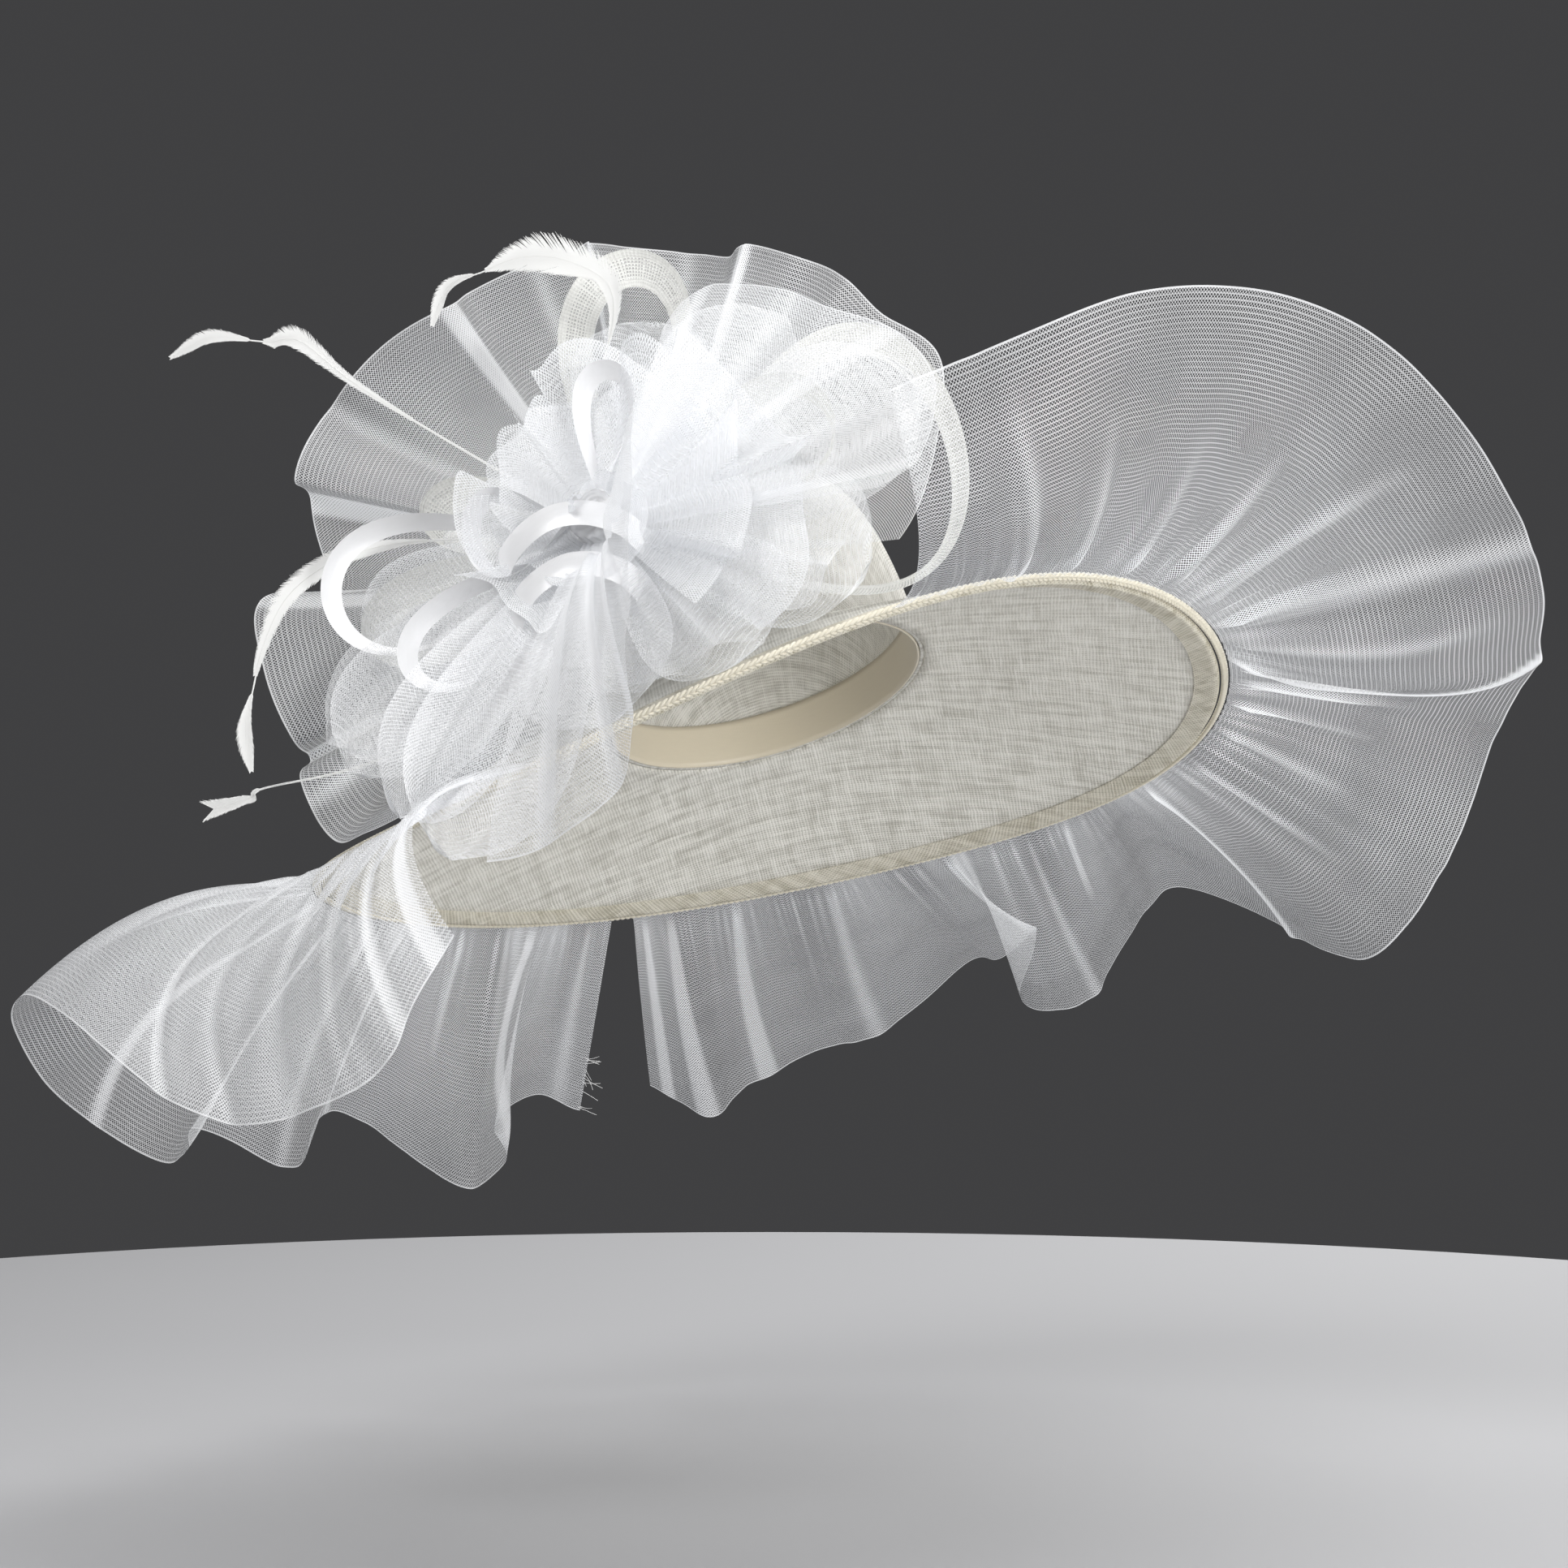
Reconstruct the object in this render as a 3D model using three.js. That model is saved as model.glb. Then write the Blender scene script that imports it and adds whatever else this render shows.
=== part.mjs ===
// A wide dress hat for the races. Its crown and brim are blocked from sinamay straw, a band of
// crinoline net is gathered round the brim's edge, and a flower of gathered net, sinamay and
// satin loops and stripped feathers is sewn to the side of the crown.
// Millimetres, +Z up. The origin is the middle of the head opening, where the hat sits.
import * as THREE from 'three';
import { mergeVertices } from 'three/addons/utils/BufferGeometryUtils.js';

// How the hat is worn: tipped back, and down on one side
const pitch = -18;
const roll = -14.7;

// Head opening and crown
const headWidth = 168;
const headLength = 196;
const headTurn = 18;
const crownHeight = 118;
const crownWall = 2;
const headRibbonHeight = 24;
const headRibbonThickness = 1;

// Brim: half its span to the sides and half its depth front to back
const brimSide = 241.5;
const brimDepth = 196;
const brimShiftX = -8;
const brimShiftY = 14.5;
const brimDrop = 45;
const brimWall = 2;
const edgeFoldWidth = 12;
const edgeFoldThickness = 1;
const edgeCordDiameter = 4.5;

// Crinoline net: the band round the brim, and the bands gathered into the flower
const ruffleWidth = 172;
const flounceWidth = 190;
const netThickness = 1;

// Flower: a wound core that leans out of the crown, with everything sewn round it
const flowerPlace = 240;
const flowerHeight = 50;
const flowerFacing = -12;
const coreRadius = 13;
const coreLength = 100;
const strawLoopWidth = 20;
const strawLoopThickness = 1.2;
const satinLoopWidth = 12;
const satinThickness = 1;
const featherThickness = 1;

const gap = 0.3;

// Crown sections from the head line to the tip: width and height as shares of the crown's
const crownSections = [
  { width: 1.00, height: 0.00 },
  { width: 0.99, height: 0.18 },
  { width: 0.96, height: 0.38 },
  { width: 0.90, height: 0.58 },
  { width: 0.80, height: 0.76 },
  { width: 0.62, height: 0.90 },
  { width: 0.36, height: 0.98 },
  { width: 0.00, height: 1.00 },
];

// The brim's edge dips and lifts round the hat, by waves that are shares of its drop
const brimSways = [
  { waves: 2, cosine: 0.02, sine: -0.315 },
  { waves: 3, cosine: -0.105, sine: -0.06 },
];

// One row for each fold of the ruffle's right band, from the front round to the back.
// root and tip are degrees round the brim, out, up and bow are shares of the band's width.
const ruffleRight = [
  { root: 288, tip: 286, out: 0.52, up: 0.43, bow: -0.26 },
  { root: 298, tip: 290, out: 0.60, up: 0.43, bow: -0.24 },
  { root: 306, tip: 296, out: 0.69, up: 0.45, bow: -0.20 },
  { root: 313, tip: 304, out: 0.79, up: 0.49, bow: -0.14 },
  { root: 320, tip: 313, out: 0.88, up: 0.46, bow: -0.09 },
  { root: 327, tip: 321, out: 0.94, up: 0.37, bow: -0.04 },
  { root: 334, tip: 329, out: 0.97, up: 0.22, bow: 0.00 },
  { root: 340, tip: 338, out: 0.97, up: 0.06, bow: 0.02 },
  { root: 345, tip: 346, out: 0.97, up: -0.05, bow: 0.05 },
  { root: 349, tip: 352, out: 0.96, up: -0.11, bow: -0.03 },
  { root: 353, tip: 359, out: 0.94, up: -0.16, bow: -0.09 },
  { root: 355, tip: 364, out: 0.95, up: -0.16, bow: -0.10 },
  { root: 358, tip: 370, out: 0.93, up: -0.15, bow: -0.03 },
  { root: 364, tip: 378, out: 0.93, up: -0.19, bow: 0.02 },
  { root: 372, tip: 385, out: 0.93, up: -0.32, bow: 0.04 },
  { root: 380, tip: 390, out: 0.87, up: -0.47, bow: 0.00 },
  { root: 388, tip: 395, out: 0.82, up: -0.59, bow: 0.03 },
  { root: 393, tip: 402, out: 0.80, up: -0.62, bow: 0.04 },
  { root: 398, tip: 411, out: 0.90, up: -0.37, bow: 0.04 },
  { root: 403, tip: 419, out: 0.92, up: -0.12, bow: 0.05 },
  { root: 408, tip: 423, out: 0.93, up: -0.15, bow: 0.00 },
  { root: 414, tip: 427, out: 0.89, up: -0.33, bow: 0.00 },
  { root: 419, tip: 429, out: 0.88, up: -0.41, bow: 0.00 },
  { root: 423, tip: 432, out: 0.88, up: -0.42, bow: 0.00 },
  { root: 427, tip: 435, out: 0.90, up: -0.32, bow: 0.00 },
  { root: 430, tip: 432, out: 0.89, up: -0.10, bow: -0.04 },
  { root: 434, tip: 436, out: 0.95, up: -0.16, bow: 0.00 },
  { root: 439, tip: 439, out: 0.98, up: -0.14, bow: 0.00 },
  { root: 446, tip: 447, out: 0.94, up: -0.32, bow: 0.02 },
  { root: 454, tip: 452, out: 0.93, up: -0.33, bow: 0.00 },
  { root: 461, tip: 458, out: 0.90, up: -0.40, bow: 0.02 },
  { root: 468, tip: 462, out: 0.86, up: -0.50, bow: 0.00 },
  { root: 473, tip: 466, out: 0.89, up: -0.35, bow: 0.00 },
];

// The left band, from the raw end behind the neck round to the front
const ruffleLeft = [
  { root: 116, tip: 112, out: 0.92, up: -0.39, bow: 0.00 },
  { root: 122, tip: 115, out: 0.95, up: -0.30, bow: 0.00 },
  { root: 126, tip: 120, out: 0.90, up: -0.42, bow: 0.02 },
  { root: 129, tip: 121, out: 0.82, up: -0.57, bow: 0.02 },
  { root: 132, tip: 126, out: 0.73, up: -0.68, bow: 0.03 },
  { root: 139, tip: 129, out: 0.81, up: -0.56, bow: 0.02 },
  { root: 146, tip: 132, out: 0.92, up: -0.35, bow: 0.00 },
  { root: 150, tip: 136, out: 0.92, up: -0.32, bow: 0.00 },
  { root: 153, tip: 141, out: 0.84, up: -0.51, bow: 0.02 },
  { root: 158, tip: 145, out: 0.82, up: -0.54, bow: 0.03 },
  { root: 165, tip: 153, out: 0.90, up: -0.40, bow: 0.00 },
  { root: 168, tip: 158, out: 0.83, up: -0.53, bow: 0.03 },
  { root: 172, tip: 164, out: 0.80, up: -0.58, bow: 0.04 },
  { root: 176, tip: 170, out: 0.86, up: -0.50, bow: 0.03 },
  { root: 180, tip: 180, out: 0.93, up: -0.36, bow: 0.05 },
  { root: 184, tip: 187, out: 0.96, up: -0.21, bow: 0.09 },
  { root: 188, tip: 195, out: 0.92, up: -0.20, bow: 0.11 },
  { root: 192, tip: 202, out: 0.88, up: -0.27, bow: 0.12 },
  { root: 198, tip: 209, out: 0.80, up: -0.49, bow: 0.08 },
  { root: 204, tip: 212, out: 0.68, up: -0.69, bow: 0.12 },
  { root: 210, tip: 216, out: 0.56, up: -0.80, bow: 0.09 },
  { root: 216, tip: 221, out: 0.47, up: -0.82, bow: 0.13 },
  { root: 223, tip: 226, out: 0.41, up: -0.81, bow: 0.18 },
  { root: 230, tip: 229, out: 0.38, up: -0.78, bow: 0.22 },
  { root: 236, tip: 232, out: 0.38, up: -0.73, bow: 0.24 },
  { root: 241, tip: 234, out: 0.34, up: -0.62, bow: 0.24 },
  { root: 245, tip: 237, out: 0.24, up: -0.46, bow: 0.24 },
];

// The flower's four gathered flounces, one row for each fold. root and tip are degrees round
// the core, reach is the way out from it, lift the way along it, as shares of the net's width.
const flounceBack = [
  { root: -14, tip: -12, reach: 0.62, lift: -0.05, bow: 0.00 },
  { root: -2, tip: 9, reach: 0.79, lift: -0.10, bow: 0.00 },
  { root: 12, tip: 21, reach: 0.90, lift: -0.10, bow: 0.00 },
  { root: 25, tip: 33, reach: 0.87, lift: -0.10, bow: 0.00 },
  { root: 36, tip: 41, reach: 0.89, lift: -0.06, bow: 0.00 },
  { root: 46, tip: 51, reach: 0.91, lift: -0.12, bow: 0.00 },
  { root: 55, tip: 57, reach: 0.85, lift: 0.07, bow: 0.00 },
  { root: 62, tip: 63, reach: 0.86, lift: -0.10, bow: 0.00 },
  { root: 71, tip: 73, reach: 0.90, lift: -0.15, bow: 0.00 },
  { root: 79, tip: 82, reach: 0.92, lift: -0.12, bow: 0.00 },
  { root: 85, tip: 85, reach: 0.87, lift: 0.08, bow: 0.00 },
  { root: 91, tip: 90, reach: 0.94, lift: -0.10, bow: 0.00 },
  { root: 99, tip: 98, reach: 0.97, lift: -0.10, bow: 0.00 },
  { root: 107, tip: 108, reach: 0.96, lift: -0.05, bow: 0.00 },
  { root: 113, tip: 111, reach: 0.89, lift: 0.08, bow: 0.00 },
  { root: 123, tip: 124, reach: 1.00, lift: 0.00, bow: 0.00 },
  { root: 133, tip: 136, reach: 1.00, lift: 0.04, bow: 0.00 },
  { root: 142, tip: 149, reach: 0.93, lift: 0.18, bow: 0.00 },
  { root: 149, tip: 150, reach: 0.96, lift: 0.00, bow: 0.00 },
  { root: 158, tip: 164, reach: 0.86, lift: 0.00, bow: 0.00 },
  { root: 166, tip: 169, reach: 0.97, lift: 0.20, bow: -0.04 },
  { root: 176, tip: 180, reach: 0.97, lift: 0.24, bow: -0.05 },
  { root: 187, tip: 193, reach: 0.96, lift: 0.24, bow: -0.03 },
  { root: 194, tip: 194, reach: 0.97, lift: 0.12, bow: 0.00 },
  { root: 202, tip: 198, reach: 1.00, lift: 0.21, bow: 0.02 },
  { root: 212, tip: 210, reach: 1.02, lift: 0.27, bow: 0.05 },
  { root: 220, tip: 219, reach: 0.93, lift: 0.45, bow: 0.05 },
  { root: 228, tip: 228, reach: 0.76, lift: 0.56, bow: 0.06 },
  { root: 236, tip: 237, reach: 0.63, lift: 0.62, bow: 0.06 },
];
const flounceMiddle = [
  { root: 66, tip: 52, reach: 0.36, lift: 0.12, bow: 0.02 },
  { root: 60, tip: 52, reach: 0.48, lift: 0.15, bow: 0.00 },
  { root: 53, tip: 46, reach: 0.58, lift: 0.18, bow: 0.00 },
  { root: 46, tip: 39, reach: 0.63, lift: 0.18, bow: 0.00 },
  { root: 38, tip: 30, reach: 0.69, lift: 0.18, bow: 0.00 },
  { root: 29, tip: 22, reach: 0.74, lift: 0.16, bow: 0.00 },
  { root: 20, tip: 13, reach: 0.84, lift: 0.12, bow: 0.00 },
  { root: 11, tip: 6, reach: 0.88, lift: 0.10, bow: 0.00 },
  { root: 2, tip: -1, reach: 0.88, lift: 0.13, bow: 0.00 },
  { root: -7, tip: -9, reach: 0.84, lift: 0.17, bow: 0.00 },
  { root: -17, tip: -18, reach: 0.73, lift: 0.25, bow: 0.00 },
];
const flounceLower = [
  { root: -22, tip: -22, reach: 0.58, lift: 0.04, bow: 0.00 },
  { root: -30, tip: -30, reach: 0.57, lift: 0.14, bow: 0.02 },
  { root: -38, tip: -38, reach: 0.54, lift: 0.06, bow: 0.00 },
  { root: -47, tip: -47, reach: 0.50, lift: 0.17, bow: 0.02 },
  { root: -55, tip: -55, reach: 0.47, lift: 0.09, bow: 0.00 },
  { root: -63, tip: -63, reach: 0.44, lift: 0.19, bow: 0.02 },
  { root: -72, tip: -72, reach: 0.43, lift: 0.10, bow: 0.00 },
  { root: -81, tip: -81, reach: 0.42, lift: 0.20, bow: 0.02 },
  { root: -91, tip: -91, reach: 0.41, lift: 0.11, bow: 0.00 },
  { root: -101, tip: -101, reach: 0.42, lift: 0.20, bow: 0.02 },
  { root: -112, tip: -111, reach: 0.44, lift: 0.12, bow: 0.00 },
  { root: -122, tip: -121, reach: 0.47, lift: 0.18, bow: 0.00 },
];
const flounceFront = [
  { root: 236, tip: 246, reach: 0.92, lift: 0.30, bow: 0.12 },
  { root: 246, tip: 252, reach: 0.90, lift: 0.32, bow: 0.14 },
  { root: 256, tip: 260, reach: 0.86, lift: 0.36, bow: 0.15 },
  { root: 265, tip: 266, reach: 0.83, lift: 0.40, bow: 0.15 },
  { root: 274, tip: 272, reach: 0.78, lift: 0.46, bow: 0.13 },
  { root: 283, tip: 277, reach: 0.69, lift: 0.52, bow: 0.10 },
  { root: 296, tip: 286, reach: 0.52, lift: 0.60, bow: 0.07 },
  { root: 312, tip: 306, reach: 0.32, lift: 0.62, bow: 0.05 },
  { root: 334, tip: 342, reach: 0.22, lift: 0.58, bow: 0.03 },
  { root: 356, tip: 372, reach: 0.26, lift: 0.50, bow: 0.02 },
  { root: 370, tip: 378, reach: 0.36, lift: 0.43, bow: 0.00 },
  { root: 382, tip: 372, reach: 0.46, lift: 0.36, bow: 0.00 },
];

// Loops of bias-cut sinamay and of satin. heading is degrees round the core, level a share of
// its length, length, breadth and rise are shares of the net's width, and turn is how far the
// strip's face turns to the front, in degrees.
const strawLoops = [
  { name: 'straw_loop_right', heading: 2, level: 0.32, length: 0.84, breadth: 0.84, rise: 0.00, turn: 40 },
  { name: 'straw_loop_top', heading: 77, level: 0.32, length: 0.74, breadth: 0.36, rise: 0.00, turn: 55 },
  { name: 'straw_loop_upper_left', heading: 149, level: 0.32, length: 0.50, breadth: 0.18, rise: 0.02, turn: 45 },
  { name: 'straw_loop_left', heading: 184, level: 0.32, length: 0.62, breadth: 0.26, rise: 0.14, turn: 45 },
  { name: 'straw_loop_inner', heading: 12, level: 0.56, length: 0.58, breadth: 0.34, rise: 0.04, turn: 20 },
];
const satinLoops = [
  { name: 'satin_loop_left', heading: 180, level: 0.61, length: 0.66, breadth: 0.42, rise: 0.19, turn: 62 },
  { name: 'satin_loop_lower', heading: 208, level: 0.76, length: 0.54, breadth: 0.28, rise: 0.16, turn: 62 },
  { name: 'satin_loop_inner', heading: 176, level: 0.90, length: 0.24, breadth: 0.26, rise: 0.08, turn: 55 },
  { name: 'satin_loop_top', heading: 66, level: 0.88, length: 0.30, breadth: 0.16, rise: 0.10, turn: 60 },
];

// Stripped feathers: along each one, its place as heading, reach and lift, and the width of
// its vane in millimetres, which is down to the bare quill where it is stripped
const quill = 1.6;
const feathers = [
  { name: 'feather_upper_left', level: 0.18, line: [
    { heading: 128, reach: 0.00, lift: 0.00, vane: quill },
    { heading: 130, reach: 0.30, lift: 0.05, vane: quill },
    { heading: 131, reach: 0.60, lift: 0.09, vane: quill },
    { heading: 131, reach: 0.88, lift: 0.13, vane: 5 },
    { heading: 130, reach: 1.08, lift: 0.15, vane: 12 },
    { heading: 132, reach: 1.16, lift: 0.15, vane: 4 },
    { heading: 133, reach: 1.21, lift: 0.15, vane: quill },
    { heading: 135, reach: 1.34, lift: 0.14, vane: 9 },
    { heading: 139, reach: 1.44, lift: 0.12, vane: quill },
  ] },
  { name: 'feather_top', level: 0.50, line: [
    { heading: 100, reach: 0.00, lift: 0.00, vane: quill },
    { heading: 92, reach: 0.20, lift: 0.03, vane: quill },
    { heading: 77, reach: 0.44, lift: 0.09, vane: quill },
    { heading: 75, reach: 0.59, lift: 0.12, vane: 14 },
    { heading: 84, reach: 0.69, lift: 0.13, vane: 22 },
    { heading: 93, reach: 0.75, lift: 0.12, vane: 13 },
    { heading: 101, reach: 0.77, lift: 0.11, vane: quill },
    { heading: 108, reach: 0.80, lift: 0.09, vane: 8 },
    { heading: 115, reach: 0.74, lift: 0.08, vane: quill },
  ] },
  { name: 'feather_left', level: 0.46, line: [
    { heading: 160, reach: 0.00, lift: 0.00, vane: quill },
    { heading: 163, reach: 0.40, lift: 0.11, vane: quill },
    { heading: 166, reach: 0.57, lift: 0.17, vane: 9 },
    { heading: 170, reach: 0.68, lift: 0.22, vane: 12 },
    { heading: 176, reach: 0.78, lift: 0.27, vane: 11 },
    { heading: 185, reach: 0.87, lift: 0.31, vane: 5 },
    { heading: 190, reach: 0.92, lift: 0.32, vane: quill },
    { heading: 195, reach: 0.98, lift: 0.33, vane: 9 },
    { heading: 201, reach: 1.03, lift: 0.32, vane: quill },
  ] },
  { name: 'feather_lower_left', level: 0.20, line: [
    { heading: 218, reach: 0.00, lift: 0.00, vane: quill },
    { heading: 212, reach: 0.60, lift: 0.22, vane: quill },
    { heading: 201, reach: 1.02, lift: 0.31, vane: quill },
    { heading: 200, reach: 1.10, lift: 0.31, vane: 5 },
    { heading: 198, reach: 1.20, lift: 0.30, vane: 11 },
  ] },
];

const tiny = 1e-4;
const radians = THREE.MathUtils.degToRad;
const vector = (x, y, z) => new THREE.Vector3(x, y, z);
const steps = (count, make) => Array.from({ length: count }, (_, i) => make(i));

// A row between two rows of a table, on a smooth curve through every column
function between(table, key, at) {
  const last = table.length - 2;
  const found = table.findIndex((row, i) => i <= last && (table[i + 1][key] - at) * (at - row[key]) >= 0);
  const i = Math.max(0, Math.min(last, found));
  const low = table[i];
  const high = table[i + 1];
  const before = table[Math.max(0, i - 1)];
  const after = table[Math.min(table.length - 1, i + 2)];
  const span = high[key] - low[key];
  const t = (at - low[key]) / span;
  const row = { [key]: at };
  for (const column of Object.keys(low).filter((name) => name !== key)) {
    const slopeLow = (high[column] - before[column]) / (high[key] - before[key]) * span;
    const slopeHigh = (after[column] - low[column]) / (after[key] - low[key]) * span;
    row[column] = (2 * t ** 3 - 3 * t ** 2 + 1) * low[column] + (t ** 3 - 2 * t ** 2 + t) * slopeLow
      + (3 * t ** 2 - 2 * t ** 3) * high[column] + (t ** 3 - t ** 2) * slopeHigh;
  }
  return row;
}

// Every row of a table, with more rows worked out between each two
function refined(table, key, cuts) {
  const rows = [];
  for (let i = 0; i + 1 < table.length; i += 1) {
    for (let cut = 0; cut < cuts; cut += 1) {
      rows.push(between(table, key, table[i][key] + (table[i + 1][key] - table[i][key]) * cut / cuts));
    }
  }
  rows.push(table[table.length - 1]);
  return rows;
}

// One closed body between two grids of points that face each other. Each grid is a list of
// lines, and a ring's lines run all the way round.
function closedBody(front, back, ring = false) {
  const triangles = [];
  const facet = (a, b, c) => {
    if (a.distanceTo(b) > tiny && b.distanceTo(c) > tiny && c.distanceTo(a) > tiny) triangles.push([a, b, c]);
  };
  const quad = (a, b, c, d) => {
    facet(a, b, c);
    facet(a, c, d);
  };
  const lines = front.length;
  const points = front[0].length;
  const stretch = ring ? points : points - 1;
  for (let j = 0; j < stretch; j += 1) {
    const k = (j + 1) % points;
    for (let i = 0; i + 1 < lines; i += 1) {
      quad(front[i][j], front[i][k], front[i + 1][k], front[i + 1][j]);
      quad(back[i][j], back[i + 1][j], back[i + 1][k], back[i][k]);
    }
    quad(front[0][k], front[0][j], back[0][j], back[0][k]);
    quad(front[lines - 1][j], front[lines - 1][k], back[lines - 1][k], back[lines - 1][j]);
  }
  if (!ring) {
    for (let i = 0; i + 1 < lines; i += 1) {
      quad(front[i][0], front[i + 1][0], back[i + 1][0], back[i][0]);
      quad(front[i + 1][points - 1], front[i][points - 1], back[i][points - 1], back[i + 1][points - 1]);
    }
  }
  return surface(triangles);
}

// A tube whose lines are the sides of its section, closed round both ways
function closedTube(lines) {
  const triangles = [];
  const sides = lines.length;
  const points = lines[0].length;
  for (let i = 0; i < sides; i += 1) {
    for (let j = 0; j < points; j += 1) {
      const next = lines[(i + 1) % sides];
      const k = (j + 1) % points;
      triangles.push([lines[i][j], lines[i][k], next[k]], [lines[i][j], next[k], next[j]]);
    }
  }
  return surface(triangles);
}

// The triangles as a geometry whose faces point out
function surface(triangles) {
  const volume = triangles.reduce((sum, [a, b, c]) => sum + a.dot(b.clone().cross(c)), 0);
  const facing = volume < 0 ? triangles.map(([a, b, c]) => [a, c, b]) : triangles;
  const geometry = new THREE.BufferGeometry().setFromPoints(facing.flat());
  const merged = mergeVertices(geometry, tiny);
  merged.computeVertexNormals();
  return merged;
}

// A sheet of one thickness laid on a grid of points
function sheet(grid, thickness, ring = false) {
  const lines = grid.length;
  const points = grid[0].length;
  const wrapped = (j) => (ring ? (j + points) % points : Math.max(0, Math.min(points - 1, j)));
  const side = (turn) => grid.map((line, i) => line.map((point, j) => {
    const across = grid[Math.min(lines - 1, i + 1)][j].clone().sub(grid[Math.max(0, i - 1)][j]);
    const along = line[wrapped(j + 1)].clone().sub(line[wrapped(j - 1)]);
    const normal = across.cross(along).normalize();
    return point.clone().addScaledVector(normal, turn * thickness / 2);
  }));
  return closedBody(side(1), side(-1), ring);
}

// Where the brim's edge is, at an angle round it, with a way out from it and a way up
function brimEdge(degrees, out = 0, up = 0) {
  const angle = radians(degrees);
  const sway = brimSways.reduce((sum, wave) => sum
    + wave.cosine * Math.cos(wave.waves * angle) + wave.sine * Math.sin(wave.waves * angle), 0);
  const plan = new THREE.Vector2(brimSide * Math.cos(angle), brimDepth * Math.sin(angle));
  plan.setLength(plan.length() + out);
  return vector(plan.x + brimShiftX, plan.y + brimShiftY, brimDrop * (sway - 1) + up);
}

// A point of the head line or of the crown above it, a distance outside the head
function crownPoint(degrees, section, outside = 0) {
  const angle = radians(degrees - headTurn);
  const head = new THREE.Vector2(headWidth / 2 * Math.cos(angle), headLength / 2 * Math.sin(angle));
  const wall = outside * Math.sqrt(Math.max(0, 1 - section.height ** 4));
  head.setLength(section.width > 0 ? head.length() * section.width + wall : 0);
  head.rotateAround(new THREE.Vector2(), radians(headTurn));
  return vector(head.x, head.y, crownHeight * section.height + outside * section.height);
}

// A point of the brim's middle surface: share 0 is at the crown and 1 is at the edge
const brimCurl = 1.25;
const brimShares = [0, 0.22, 0.5, 0.78, 1];
function brimPoint(degrees, share, up = 0) {
  const inner = crownPoint(degrees, crownSections[0], crownWall + gap);
  const outer = brimEdge(degrees);
  const point = inner.clone().lerp(outer, share);
  point.z = outer.z * share ** brimCurl + up;
  return point;
}

const ringStations = 64;
const ringAngles = steps(ringStations, (i) => i * 360 / ringStations);

function crown() {
  const angles = steps(ringStations / 2, (i) => i * 720 / ringStations);
  const skin = (outside) => crownSections.map((section) => angles.map((a) => crownPoint(a, section, outside)));
  return closedBody(skin(crownWall), skin(0), true);
}

function headRibbon() {
  const angles = steps(ringStations / 2, (i) => i * 720 / ringStations);
  const skin = (outside) => [0, headRibbonHeight / crownHeight].map((height) => angles.map((a) => {
    const section = between(crownSections, 'height', height);
    return crownPoint(a, section, outside).setZ(crownHeight * height);
  }));
  const clear = -2 * gap;
  return closedBody(skin(clear), skin(clear - headRibbonThickness), true);
}

function brim() {
  const skin = (up) => brimShares.map((share) => ringAngles.map((a) => brimPoint(a, share, up)));
  return closedBody(skin(brimWall / 2), skin(-brimWall / 2), true);
}

// The bias fold wraps the brim's edge, and lies on both faces of it
const foldRise = brimWall / 2 + gap + edgeFoldThickness / 2;
function edgeFold() {
  const outerShare = brimShares[brimShares.length - 2];
  const leg = (a, up) => {
    const edge = brimPoint(a, 1, up);
    const inward = brimPoint(a, outerShare, up).sub(edge);
    return edge.clone().addScaledVector(inward, edgeFoldWidth / inward.length());
  };
  const wrap = (a) => [
    leg(a, foldRise),
    brimPoint(a, 1, foldRise),
    brimEdge(a, foldRise, 0),
    brimPoint(a, 1, -foldRise),
    leg(a, -foldRise),
  ];
  const columns = ringAngles.map(wrap);
  const lines = columns[0].map((_, i) => columns.map((column) => column[i]));
  return sheet(lines, edgeFoldThickness, true);
}

const cordPlace = foldRise + edgeFoldThickness / 2 + gap + edgeCordDiameter / 2;
function edgeCord() {
  const sides = 5;
  return closedTube(steps(sides, (side) => {
    const turn = radians(side * 360 / sides);
    const radius = edgeCordDiameter / 2;
    return ringAngles.map((a) => brimEdge(a, cordPlace + radius * Math.cos(turn), radius * Math.sin(turn)));
  }));
}

// A gathered band: each fold runs from its root to its tip, and bows off the straight line
const bandSteps = 5;
const foldCuts = 2;
function gatheredBand(folds, width, rootOf, tipOf) {
  const rows = refined(folds, 'root', foldCuts);
  return steps(bandSteps + 1, (step) => rows.map((row) => {
    const share = step / bandSteps;
    const root = rootOf(row);
    const tip = tipOf(row);
    const chord = tip.clone().sub(root);
    const aside = vector(chord.x, chord.y, 0).normalize();
    const rise = vector(0, 0, Math.hypot(chord.x, chord.y)).addScaledVector(aside, -chord.z).normalize();
    const point = root.clone().addScaledVector(chord, share);
    return point.addScaledVector(rise, 4 * share * (1 - share) * row.bow * width);
  }));
}

const ruffleSeam = cordPlace + edgeCordDiameter / 2 + 2 * gap;
function ruffle(folds) {
  const rootOf = (row) => brimEdge(row.root, ruffleSeam);
  const tipOf = (row) => brimEdge(row.tip, ruffleSeam + row.out * ruffleWidth, row.up * ruffleWidth);
  return sheet(gatheredBand(folds, ruffleWidth, rootOf, tipOf), netThickness);
}

// A place in the flower: degrees round the core, a way out from its side, a way along it
function flowerPoint(degrees, out, along) {
  const angle = radians(degrees);
  const radius = coreRadius + out;
  return vector(radius * Math.cos(angle), radius * Math.sin(angle), along);
}

const sewn = gap + netThickness / 2;
function flounce(folds, share) {
  const level = share * coreLength;
  const rootOf = (row) => flowerPoint(row.root, sewn, level);
  const tipOf = (row) => flowerPoint(row.tip, row.reach * flounceWidth, level + row.lift * flounceWidth);
  return sheet(gatheredBand(folds, flounceWidth, rootOf, tipOf), netThickness);
}

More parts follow.
